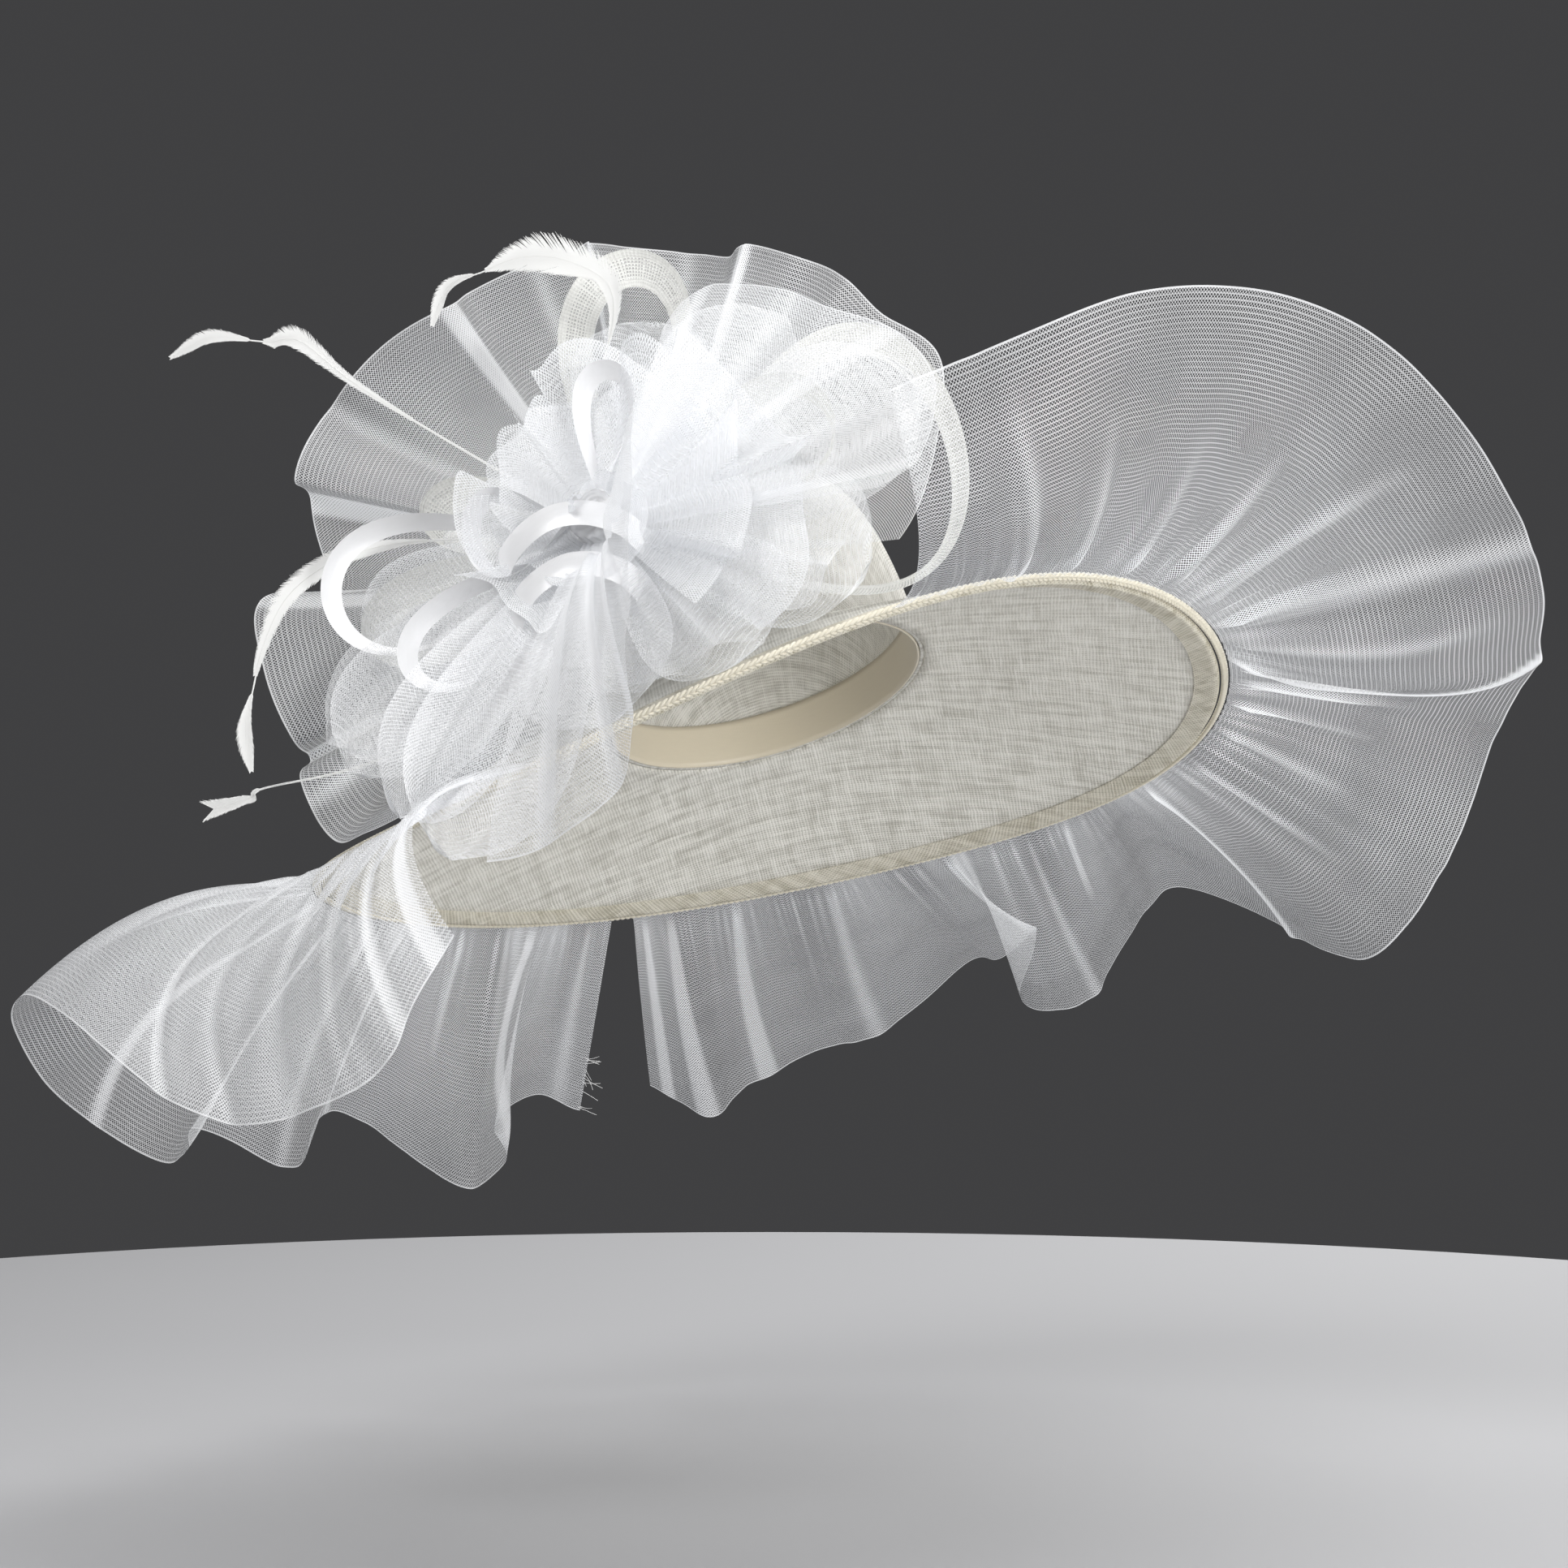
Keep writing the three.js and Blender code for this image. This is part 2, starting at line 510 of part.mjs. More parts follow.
// A strip's centre line and the way its width runs, as a sheet with two long edges
function strip(centres, widths, thickness) {
  const edge = (turn) => centres.map((centre, i) => centre.clone().addScaledVector(widths[i], turn / 2));
  return sheet([edge(-1), edge(1)], thickness);
}

const loopSteps = 16;
function loop({ heading, level, length, breadth, rise, turn }, width, thickness) {
  const ahead = vector(Math.cos(radians(heading)), Math.sin(radians(heading)), 0);
  const beside = vector(-ahead.y, ahead.x, 0);
  const apart = thickness / 2 + gap;
  const centreAt = (share) => {
    const round = 2 * Math.PI * share;
    const out = (1 - Math.cos(round)) / 2;
    const across = flounceWidth * breadth / 2 * Math.sin(round) * out ** 0.75 * 1.2
      + (1 - out) * apart * (share < 0.5 ? 1 : -1);
    return ahead.clone().multiplyScalar(coreRadius + sewn + out * length * flounceWidth)
      .addScaledVector(beside, across)
      .setZ(level * coreLength + rise * flounceWidth * out);
  };
  const centres = steps(loopSteps + 1, (i) => centreAt(i / loopSteps));
  const widths = centres.map((centre, i) => {
    const along = centres[Math.min(loopSteps, i + 1)].clone().sub(centres[Math.max(0, i - 1)]);
    const outward = vector(along.y, -along.x, 0).normalize();
    const out = (1 - Math.cos(2 * Math.PI * i / loopSteps)) / 2;
    const tilt = radians(turn * out);
    return vector(0, 0, Math.cos(tilt)).addScaledVector(outward, -Math.sin(tilt)).multiplyScalar(width);
  });
  return strip(centres, widths, thickness);
}

const featherCuts = 2;
function feather({ level, line }) {
  const counted = line.map((row, place) => ({ place, ...row }));
  const rows = refined(counted, 'place', featherCuts);
  const centres = rows.map((row) => flowerPoint(row.heading, sewn + row.reach * flounceWidth,
    level * coreLength + row.lift * flounceWidth));
  const widths = rows.map((row, i) => {
    const along = centres[Math.min(rows.length - 1, i + 1)].clone().sub(centres[Math.max(0, i - 1)]);
    return vector(-along.y, along.x, 0).setLength(Math.max(featherThickness, row.vane));
  });
  return strip(centres, widths, featherThickness);
}

function core() {
  const bevel = 3;
  const profile = [[0, 0], [coreRadius, 0], [coreRadius, coreLength - bevel], [coreRadius - bevel, coreLength],
    [0, coreLength]].map(([radius, along]) => new THREE.Vector2(radius, along));
  const lathe = new THREE.LatheGeometry(profile, 16).rotateX(Math.PI / 2);
  lathe.deleteAttribute('normal');
  lathe.deleteAttribute('uv');
  return mergeVertices(lathe, tiny);
}

const finish = (color, roughness) => new THREE.MeshStandardMaterial({
  color, roughness, metalness: 0, side: THREE.DoubleSide,
});
const straw = finish(0xeeebdf, 0.7);
const strawFold = finish(0xe6dfc8, 0.7);
const net = finish(0xf4f6f8, 0.45);
const satin = finish(0xfbfbfd, 0.3);
const plume = finish(0xf8f8f6, 0.8);

function piece(name, geometry, material) {
  const mesh = new THREE.Mesh(geometry, material);
  mesh.name = name;
  return mesh;
}

// The flower's own frame: its +Z is the core's axis, leaning out of the crown's wall
const flower = new THREE.Group();
const flowerSection = between(crownSections, 'height', flowerHeight / crownHeight);
const wedge = Math.abs(Math.sin(radians(flowerPlace + 90 - 360 - flowerFacing)));
flower.position.copy(crownPoint(flowerPlace, flowerSection, crownWall + gap + coreRadius * wedge));
flower.rotation.set(radians(90), 0, radians(flowerFacing), 'ZXY');
flower.add(
  piece('flower_core', core(), net),
  piece('flounce_back', flounce(flounceBack, 0.08), net),
  piece('flounce_middle', flounce(flounceMiddle, 0.74), net),
  piece('flounce_lower', flounce(flounceLower, 0.60), net),
  piece('flounce_front', flounce(flounceFront, 0.92), net),
  ...strawLoops.map((row) => piece(row.name, loop(row, strawLoopWidth, strawLoopThickness), straw)),
  ...satinLoops.map((row) => piece(row.name, loop(row, satinLoopWidth, satinThickness), satin)),
  ...feathers.map((row) => piece(row.name, feather(row), plume)),
);

const tilted = new THREE.Group();
tilted.rotation.set(radians(pitch), radians(roll), 0, 'YXZ');
tilted.add(
  piece('crown', crown(), straw),
  piece('head_ribbon', headRibbon(), satin),
  piece('brim', brim(), straw),
  piece('edge_fold', edgeFold(), strawFold),
  piece('edge_cord', edgeCord(), strawFold),
  piece('ruffle_right', ruffle(ruffleRight), net),
  piece('ruffle_left', ruffle(ruffleLeft), net),
  flower,
);

const hat = new THREE.Group();
hat.add(tilted);

export default hat;
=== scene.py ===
# %% [markdown]
# # Wide dress hat
# A blocked hat of sinamay, which is a stiff open cloth woven from banana fibre, with a gathered
# band of net sewn round its brim and a large net flower beside its crown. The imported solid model
# is the frame: it gives the object's place, its box and the nodes that each soft piece stands
# for. Soft pieces are drawn again here, finer, from the same sizes and fold tables, because
# solids can't be sheer or frayed. Sizes are millimetres until they become points in metres.

# %% Load the frame
import math

import bmesh
import bpy
import numpy as np
from mathutils import Euler, Matrix, Vector


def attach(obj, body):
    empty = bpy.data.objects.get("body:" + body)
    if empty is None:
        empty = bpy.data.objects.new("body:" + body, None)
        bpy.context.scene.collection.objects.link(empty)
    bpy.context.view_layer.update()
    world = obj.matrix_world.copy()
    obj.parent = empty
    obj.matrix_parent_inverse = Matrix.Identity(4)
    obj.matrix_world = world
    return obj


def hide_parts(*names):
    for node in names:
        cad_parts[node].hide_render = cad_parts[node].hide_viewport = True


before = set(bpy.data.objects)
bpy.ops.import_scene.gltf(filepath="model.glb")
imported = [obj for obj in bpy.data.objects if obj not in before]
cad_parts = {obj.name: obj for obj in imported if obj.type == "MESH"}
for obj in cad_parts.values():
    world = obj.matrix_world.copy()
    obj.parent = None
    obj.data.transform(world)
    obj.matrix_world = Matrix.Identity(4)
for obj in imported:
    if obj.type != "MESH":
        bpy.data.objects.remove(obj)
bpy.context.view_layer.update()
random = np.random.default_rng(7)
print("solid model:", len(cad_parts), "nodes")

# %% [markdown]
# ## Camera
# The hat was photographed from straight in front with a long lens, so it shows little
# perspective. A camera could be aimed with a constraint, but a fixed place and a turn of 90
# degrees about X give a level view that no later step can move. It stands two metres in front of
# the head opening, and the lens is as long as the photograph's framing needs.

# %% Camera
camera = bpy.data.objects.new("camera", bpy.data.cameras.new("camera"))
camera.data.lens = 86.65
camera.data.sensor_width = 36
camera.location = (0.010, -2.000, -0.046)
camera.rotation_euler = (math.radians(90), 0, 0)
bpy.context.collection.objects.link(camera)
bpy.context.scene.camera = camera
print("camera at", tuple(round(c, 3) for c in camera.location), "with a lens of", camera.data.lens)

# %% [markdown]
# ## Short tables and smooth curves
# Cloth that was gathered by hand has no formula, but a milliner can say where each fold lies. So
# a fold is one row of a short table, and a smooth curve runs through the rows. A Bezier curve
# object could do the same and would have to be read back from its data. A cubic through the
# table's columns is a few lines of numpy, and it gives every point of a grid at once.

# %% Tables, curves and vectors
def table(columns, rows):
    """Rows with named columns, as one array for each column."""
    return dict(zip(columns.split(), np.array(rows, float).T))


def smooth(rows, key, at):
    """The table's columns at these places of one of them, on a smooth curve."""
    order = np.argsort(rows[key])
    x = rows[key][order]
    at = np.asarray(at, float)
    i = np.clip(np.searchsorted(x, at, side="right") - 1, 0, len(x) - 2)
    span = x[i + 1] - x[i]
    t = (at - x[i]) / span
    result = {}
    for column, values in rows.items():
        y = values[order]
        slope = np.empty(len(y))
        slope[1:-1] = (y[2:] - y[:-2]) / (x[2:] - x[:-2])
        slope[0], slope[-1] = (y[1] - y[0]) / (x[1] - x[0]), (y[-1] - y[-2]) / (x[-1] - x[-2])
        result[column] = (
            (2 * t**3 - 3 * t**2 + 1) * y[i] + (t**3 - 2 * t**2 + t) * slope[i] * span
            + (3 * t**2 - 2 * t**3) * y[i + 1] + (t**3 - t**2) * slope[i + 1] * span
        )
    result[key] = at
    return result


def points(x, y, z):
    return np.stack(np.broadcast_arrays(x, y, z), axis=-1).astype(float)


def unit(vectors):
    return vectors / np.maximum(np.linalg.norm(vectors, axis=-1, keepdims=True), 1e-9)


def along(line):
    """How far each point of a line is from its start."""
    lengths = np.linalg.norm(np.diff(line, axis=0), axis=1)
    return np.concatenate([[0], np.cumsum(lengths)])


example = smooth(table("place height", [(0, 0), (1, 4), (2, 0)]), "place", [0.5, 1, 1.5])
print("a smooth curve through 0, 4 and 0:", example["height"].round(2))

# %% [markdown]
# ## The crown's and the brim's own shape
# A hat is steamed over an oval wooden block, so its crown is a stack of ovals that shrink towards
# the top. The brim runs from the crown's foot to an edge that dips in front and at one side. Both
# could be lathed and then pulled out of round. Here each is a function that turns a heading and a
# share of the way into a point, because the fold, the cord, the ribbon and the net's seam all
# have to follow the same shape. A heading is in degrees, from the right and on towards the back.

# %% Sizes of the blocked hat
HEAD_WIDTH, HEAD_LENGTH, HEAD_TURN = 168, 196, 18
CROWN_HEIGHT, CROWN_WALL = 118, 2
BRIM_SIDE, BRIM_DEPTH, BRIM_SHIFT_X, BRIM_SHIFT_Y = 241.5, 196, -8, 14.5
BRIM_DROP, BRIM_WALL, BRIM_CURL = 45, 2, 1.25
GAP = 0.3  # the air that is left between two pieces
CROWN_SECTIONS = table("place width height", [
    (0, 1.00, 0.00), (1, 0.99, 0.18), (2, 0.96, 0.38), (3, 0.90, 0.58),
    (4, 0.80, 0.76), (5, 0.62, 0.90), (6, 0.36, 0.98), (7, 0.00, 1.00),
])
# how often the brim's edge rises on its way round, with the cosine's and the sine's share
BRIM_SWAYS = [(2, 0.02, -0.315), (3, -0.105, -0.06)]
print("head opening", HEAD_WIDTH, "by", HEAD_LENGTH, "mm")

# %% Points on the crown and the brim
def crown_point(degrees, width, height, outside=0):
    angle = np.radians(degrees - HEAD_TURN)
    x, y = HEAD_WIDTH / 2 * np.cos(angle), HEAD_LENGTH / 2 * np.sin(angle)
    wall = outside * np.sqrt(np.maximum(0, 1 - height**4))
    stretch = np.where(width > 0.001, width + wall / np.hypot(x, y), 0)
    turn = math.radians(HEAD_TURN)
    return points(
        (x * math.cos(turn) - y * math.sin(turn)) * stretch,
        (x * math.sin(turn) + y * math.cos(turn)) * stretch,
        CROWN_HEIGHT * height + outside * height,
    )


def brim_edge(degrees, out=0, up=0):
    angle = np.radians(degrees)
    sway = sum(c * np.cos(n * angle) + s * np.sin(n * angle) for n, c, s in BRIM_SWAYS)
    x, y = BRIM_SIDE * np.cos(angle), BRIM_DEPTH * np.sin(angle)
    stretch = 1 + out / np.hypot(x, y)
    return points(x * stretch + BRIM_SHIFT_X, y * stretch + BRIM_SHIFT_Y,
                  BRIM_DROP * (sway - 1) + up)


def brim_point(degrees, share, up=0):
    inner = crown_point(degrees, 1, 0, CROWN_WALL + GAP)
    outer = brim_edge(degrees)
    place = inner + (outer - inner) * np.asarray(share)[..., None]
    place[..., 2] = outer[..., 2] * share**BRIM_CURL + up
    return place


edge = brim_edge(np.arange(0, 361))
print("brim edge", round(float(along(edge)[-1])), "mm round, from", edge[:, 2].min().round(),
      "to", edge[:, 2].max().round(), "mm high")

# %% [markdown]
# ## Where the hat and the flower stand
# The hat is shown tilted back and to one side, and the flower is sewn on at a slant. Objects
# could be turned to these angles, but a finished piece has to sit at the origin with its place
# in its mesh. So two matrices hold the turns, and `placed` runs every grid of points through one
# of them.

# %% The hat's and the flower's axes
PITCH, ROLL = -18, -14.7
FLOWER_PLACE, FLOWER_HEIGHT, FLOWER_FACING = 240, 50, -12
CORE_RADIUS, CORE_LENGTH = 13, 100
HAT = (
    Matrix.Rotation(math.radians(ROLL), 4, "Y")
    @ Euler((math.radians(PITCH), 0, 0)).to_matrix().to_4x4()
)
section = smooth(CROWN_SECTIONS, "height", FLOWER_HEIGHT / CROWN_HEIGHT)
wedge = abs(math.sin(math.radians(FLOWER_PLACE + 90 - 360 - FLOWER_FACING)))
root = crown_point(FLOWER_PLACE, section["width"], section["height"],
                   CROWN_WALL + GAP + CORE_RADIUS * wedge)
FLOWER = (
    HAT @ Matrix.Translation(Vector(root)) @ Matrix.Rotation(math.radians(FLOWER_FACING), 4, "Z")
    @ Matrix.Rotation(math.radians(90), 4, "X")
)


def placed(matrix, grid):
    """Points of the hat or the flower, in millimetres, as points of the frame in metres."""
    m = np.array(matrix)
    return (grid @ m[:3, :3].T + m[:3, 3]) / 1000


def flower_point(degrees, out, level):
    angle = np.radians(degrees)
    return points((CORE_RADIUS + out) * np.cos(angle), (CORE_RADIUS + out) * np.sin(angle), level)


print("the flower stands at", placed(FLOWER, np.zeros(3)).round(3), "m")

# %% [markdown]
# ## From a grid of points to a piece
# Every piece here is cloth, so every piece is a grid: one way runs across the cloth and the
# other along it. `bmesh.ops.create_grid` makes the faces, and then each vertex moves to its
# place. A wall that closes on itself repeats its first row or column, and `remove_doubles` sews
# the seam. UV holds millimetres of flat cloth divided by 100, which a weave can follow wherever
# the cloth goes. The attribute `gather` says how tightly the cloth is squeezed together there.

# %% Lay cloth on a grid
def blank():
    """An empty bmesh with a layer for the flat cloth and one for how tightly it is gathered."""
    build = bmesh.new()
    build.loops.layers.uv.new("UVMap")
    build.verts.layers.float.new("gather")
    return build


def lay(build, grid, flat=None, gather=None):
    """Adds a grid of cloth: rows across it, columns along it, and its flat millimetres."""
    rows, columns = grid.shape[:2]
    made = bmesh.ops.create_grid(build, x_segments=columns - 1, y_segments=rows - 1)["verts"]
    uv, squeeze = build.loops.layers.uv["UVMap"], build.verts.layers.float["gather"]
    for vert, place in zip(made, grid.reshape(-1, 3)):
        vert.co = place
    if gather is not None:
        for vert, value in zip(made, np.broadcast_to(gather, (rows, columns)).reshape(-1)):
            vert[squeeze] = value
    if flat is not None:
        for vert, place in zip(made, flat.reshape(-1, 2) / 100):
            for loop in vert.link_loops:
                loop[uv].uv = place


def closed(grid, axis):
    """The grid with its first row or column once more at its end."""
    return np.concatenate([grid, grid.take([0], axis)], axis)


def flat_grid(across, length):
    """Flat millimetres: the first way of the grid is across the cloth, the second along it."""
    return np.stack(np.meshgrid(length, across), axis=-1)


sample = blank()
lay(sample, np.zeros((3, 4, 3)))
print("a grid of 3 by 4 points has", len(sample.faces), "faces")
sample.free()

# %% Finish a piece
SAME_PLACE = 1e-7  # metres, within which two points of a seam are one


def sewn(build):
    """Joins the seams and turns all faces one way."""
    bmesh.ops.remove_doubles(build, verts=build.verts, dist=SAME_PLACE)
    bmesh.ops.recalc_face_normals(build, faces=build.faces)
    return build


def finished(name, build, material, node=None):
    """Makes the bmesh an object, hides the solid it stands for and prints its size."""
    mesh = bpy.data.meshes.new(name)
    build.to_mesh(mesh)
    build.free()
    mesh.shade_smooth()
    mesh.materials.append(material)
    piece = bpy.data.objects.new(name, mesh)
    bpy.context.collection.objects.link(piece)
    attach(piece, "root")
    if node:
        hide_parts(node)
    size = " by ".join(str(round(side * 1000)) for side in piece.dimensions)
    print(f"{name}: {len(mesh.polygons)} faces, {size} mm")
    return piece


def new_piece(name, grid, material, node=None, flat=None, gather=None):
    """A piece that is one grid of cloth."""
    build = blank()
    lay(build, grid, flat, gather)
    return finished(name, sewn(build), material, node)


def metres(millimetres, digits=3):
    return round(float(millimetres) / 1000, digits)


sample = blank()
lay(sample, closed(np.array([np.eye(3), np.eye(3) + 1]), 1))
print("a sewn tube of 2 rings of 3 points keeps", len(sewn(sample).verts), "points")
sample.free()

# %% [markdown]
# ## Shader maths
# A weave, a plait and a ribbed ribbon are sums of stripes and noise. Such sums could be wired by
# hand in the shader editor, node by node. Here a small class stands for a socket, so that a sum
# is written as it is on paper and adds its own nodes. One method makes every node: it takes the
# node's type, its settings and what goes into its sockets.

# %% A socket that can be added and multiplied
MIX_SHARE, MIX_LOW, MIX_HIGH, MIX_RESULT = 0, 6, 7, 2  # the mix node's sockets for colours


class Field:
    """A shader socket that adds, multiplies and so on as a number does."""

    def __init__(self, cloth, socket):
        self.cloth, self.socket = cloth, socket

    def math(self, operation, *others):
        return self.cloth.node("ShaderNodeMath", {"operation": operation}, (self, *others))

    def __add__(self, other):
        return self.math("ADD", other)

    def __sub__(self, other):
        return self.math("SUBTRACT", other)

    def __mul__(self, other):
        return self.math("MULTIPLY", other)

    def __truediv__(self, other):
        return self.math("DIVIDE", other)

    def most(self, other):
        """Whichever of the two is more, so that one pattern lies over another."""
        return self.math("MAXIMUM", other)

    def ramp(self, low, high, start=0.0, end=1.0):
        """A smooth step from start at low to end at high."""
        return self.cloth.node("ShaderNodeMapRange", {"interpolation_type": "SMOOTHSTEP"},
                               (self, low, high, start, end))

    def colour(self, low, high):
        """One colour where the number is 0 and another where it is 1."""
        return self.cloth.node("ShaderNodeMix", {"data_type": "RGBA"},
                               {MIX_SHARE: self, MIX_LOW: (*low, 1), MIX_HIGH: (*high, 1)},
                               output=MIX_RESULT)


# %% A material that knows its cloth
class Cloth:
    """A material, with the millimetres of flat cloth as u and v."""

    def __init__(self, name, **constants):
        self.material = bpy.data.materials.new(name)
        self.material.use_nodes = True
        self.tree = self.material.node_tree
        self.shader = self.tree.nodes["Principled BSDF"]
        self.surface = Field(self, self.shader.outputs[0])
        self.into(**constants)
        laid = self.node("ShaderNodeUVMap", {"uv_map": "UVMap"})
        parts = self.node("ShaderNodeSeparateXYZ", inputs=[laid]).socket.node.outputs
        self.u, self.v = Field(self, parts[0]) * 100, Field(self, parts[1]) * 100

    def plug(self, socket, value):
        if isinstance(value, Field):
            self.tree.links.new(value.socket, socket)
        else:
            socket.default_value = value

    def node(self, kind, settings=None, inputs=(), output=0):
        """A new node: first its settings, then a value or a link for each of its sockets."""
        node = self.tree.nodes.new(kind)
        for key, value in (settings or {}).items():
            setattr(node, key, value)
        for key, value in inputs.items() if isinstance(inputs, dict) else enumerate(inputs):
            self.plug(node.inputs[key], value)
        return Field(self, node.outputs[output])

    def into(self, **fields):
        """Values or links for the main shader's sockets."""
        for key, field in fields.items():
            self.plug(self.shader.inputs[key.replace("_", " ")], field)
        return self

    def attribute(self, name):
        return self.node("ShaderNodeAttribute", {"attribute_name": name}, output="Fac")

    def noise(self, u, v, detail):
        """Noise from 0 to 1 at two coordinates, whose features are about 1 wide."""
        place = self.node("ShaderNodeCombineXYZ", inputs=(u, v))
        return self.node("ShaderNodeTexNoise", inputs={
            "Vector": place, "Scale": 1, "Detail": detail})

    def bump(self, height, strength, distance):
        return self.into(Normal=self.node("ShaderNodeBump", inputs={
            "Strength": strength, "Distance": distance, "Height": height}))

    def mixed(self, share, first, second):
        """Shows two surfaces, the second by this share."""
        self.surface = self.node("ShaderNodeMixShader", inputs=(share, first, second))
        self.plug(self.tree.nodes["Material Output"].inputs["Surface"], self.surface)
        return self

    def glowing_through(self, share, colour=(1, 1, 1)):
        """Lets a share of the light through the cloth, as sheer white cloth does."""
        glow = self.node("ShaderNodeBsdfTranslucent", inputs={"Color": (*colour, 1)})
        return self.mixed(share, self.surface, glow)

    def open_where(self, cover):
        """Lets the eye through where cover is 0."""
        return self.mixed(cover, self.node("ShaderNodeBsdfTransparent"), self.surface)

    def done(self):
        print(self.material.name, "has", len(self.tree.nodes), "nodes")
        return self.material


THREAD_SOFT = 0.12  # millimetres over which a thread's side fades


def threads(place, pitch, width):
    """1 on threads that lie a pitch apart, 0 between them, with soft sides."""
    off = ((place / pitch).math("FRACT") - 0.5).math("ABSOLUTE") * pitch
    return (off - width / 2).ramp(THREAD_SOFT, -THREAD_SOFT)


trial = Cloth("trial")
before = len(trial.tree.nodes)
threads(trial.u, 2, 1)
print("a set of threads takes", len(trial.tree.nodes) - before, "nodes")
bpy.data.materials.remove(trial.material)

# %% [markdown]
# ## Blocked sinamay
# Sinamay is a plain weave of uneven fibres, and its slubs make it look clouded. A photograph of
# the cloth could be laid on, but this pattern has to turn and fade with the piece. Two sets of
# threads whose width follows a stretched noise give the weave, and two more noises give the
# slubs and the clouding. Where no thread lies, the cloth is open, so the eye sees through it. A
# bias strip is the same cloth cut at 45 degrees.

# %% Sinamay
def straw_material(name, light, dark, cover, hem=None, bias=False):
    """Sinamay of two colours, whose holes are shut by cover, with a turned hem of this width."""
    cloth = Cloth(name, Roughness=0.62, Specular_IOR_Level=0.3)
    a, b = cloth.u, cloth.v
    if bias:
        a, b = (a + b) * math.sqrt(0.5), (a - b) * math.sqrt(0.5)
    drift = cloth.noise(a / 14, b / 14, 2) * 1.6
    pitch = 1.7
    warp = threads(a + drift, pitch, (cloth.noise(a / pitch, b / 26, 1) - 0.5) * 1.9 + 0.80)
    weft = threads(b + drift, pitch, (cloth.noise(a / 26, b / pitch, 1) - 0.5) * 1.9 + 0.80)
    slubs = cloth.noise(a / 2.2, b / 30, 2).ramp(0.56, 0.72)
    slubs = slubs + cloth.noise(a / 30, b / 2.2, 2).ramp(0.56, 0.72)
    weave = warp.most(weft)
    cloud = cloth.noise(a / 30, b / 5, 3) * 1.35 + cloth.noise(a / 6, b / 26, 3) * 0.65
    tone = (weave * 0.50 + slubs * 0.30 + (cloud - 1) * 1.1).ramp(-0.3, 0.8)
    cloth.into(Base_Color=tone.colour(dark, light))
    cloth.bump(warp + weft + slubs * 0.6, 0.55, 0.0006)
    cloth.glowing_through(0.22, light)
    shut = weave.ramp(0.0, 1.0, cover, 1.0)
    if hem is not None:
        edge = ((cloth.v - hem / 2).math("ABSOLUTE") - hem / 2).ramp(-4.6, -4.2)
        shut = shut.most(edge * 0.97)
    return cloth.open_where(shut).done()


STRAW = straw_material("straw_blocked", (0.99, 0.975, 0.92), (0.46, 0.44, 0.38), 0.92)
STRAW_FOLD = straw_material("straw_bias_fold", (0.98, 0.94, 0.82), (0.46, 0.42, 0.31), 0.96,
                            bias=True)

# %% [markdown]
# ## The crown
# The crown is one sheet of sinamay pulled over a block, so it has an outer face, an inner face
# and no seam. A spin would make it round, and the block is oval. So a stack of oval rows runs
# from the top down inside, and from the foot up outside, and the rows at the top shrink to one
# point, where the doubles are merged. The cloth lies flattest at the top, so its flat place is
# measured outwards from there.

# %% Crown
STATIONS = np.arange(0, 360, 1.5)
CROWN_ROWS = 43


def crown():
    top = CROWN_SECTIONS["place"][-1]
    places = smooth(CROWN_SECTIONS, "place", np.linspace(0, top, CROWN_ROWS))
    sections = list(zip(places["width"], places["height"]))
    outer = [crown_point(STATIONS, width, height, CROWN_WALL) for width, height in sections]
    inner = [crown_point(STATIONS, width, height, 0) for width, height in sections]
    reach = along(np.array([row[0] for row in outer[::-1]]))
    reach = np.concatenate([reach, reach[::-1]])
    angle = np.radians(np.append(STATIONS, 360))
    flat = reach[:, None, None] * np.stack([np.cos(angle), np.sin(angle)], axis=-1)
    grid = closed(np.array(inner[::-1] + outer), 1)
    new_piece("blocked_crown", placed(HAT, grid), STRAW, "crown", flat)


crown()

# %% [markdown]
# ## The brim
# The brim is blocked in the same cloth. It could be a flat ring with a Solidify modifier, but its
# underside is what the photograph shows most, and it has to meet the crown all round. So the
# grid runs out over the top face and back under it, and its first row is repeated to close the
# wall. Its weave is laid on from above, as the cloth lies when it is stretched over a flat block.

# %% Brim
BRIM_ROWS = 25


def brim():
    shares = np.linspace(0, 1, BRIM_ROWS)
    skin = [brim_point(STATIONS, share, BRIM_WALL / 2) for share in shares]
    under = [brim_point(STATIONS, share, -BRIM_WALL / 2) for share in shares[::-1]]
    grid = closed(np.array(skin + under), 1)
    flat = np.concatenate([grid, grid[-1:]])[..., :2]
    new_piece("blocked_brim", placed(HAT, closed(grid, 0)), STRAW, "brim", flat)


brim()

# %% [markdown]
# ## The bias fold
# A strip of sinamay cut on the bias is folded over the brim's edge and stitched. Bias-cut cloth
# stretches, so it follows the curve with only small puckers. It could be thickened out of the
# brim's edge, but it is a strip of its own. Seven rows lie above the brim, one goes round its
# edge and seven lie below, and two sine waves of odd counts pucker it.

# %% Bias fold
FOLD_WIDTH, FOLD_THICKNESS = 12, 1
FOLD_RISE = BRIM_WALL / 2 + GAP + FOLD_THICKNESS / 2
FOLD_LEG_ROWS = 7
FOLD_LEG_EASE, FOLD_LIP_EASE = 0.12, 0.1  # how much looser the drawn fold lies
PUCKERS = [(0.16, 61, 0), (0.12, 103, 40)]  # each wave's height, count and start


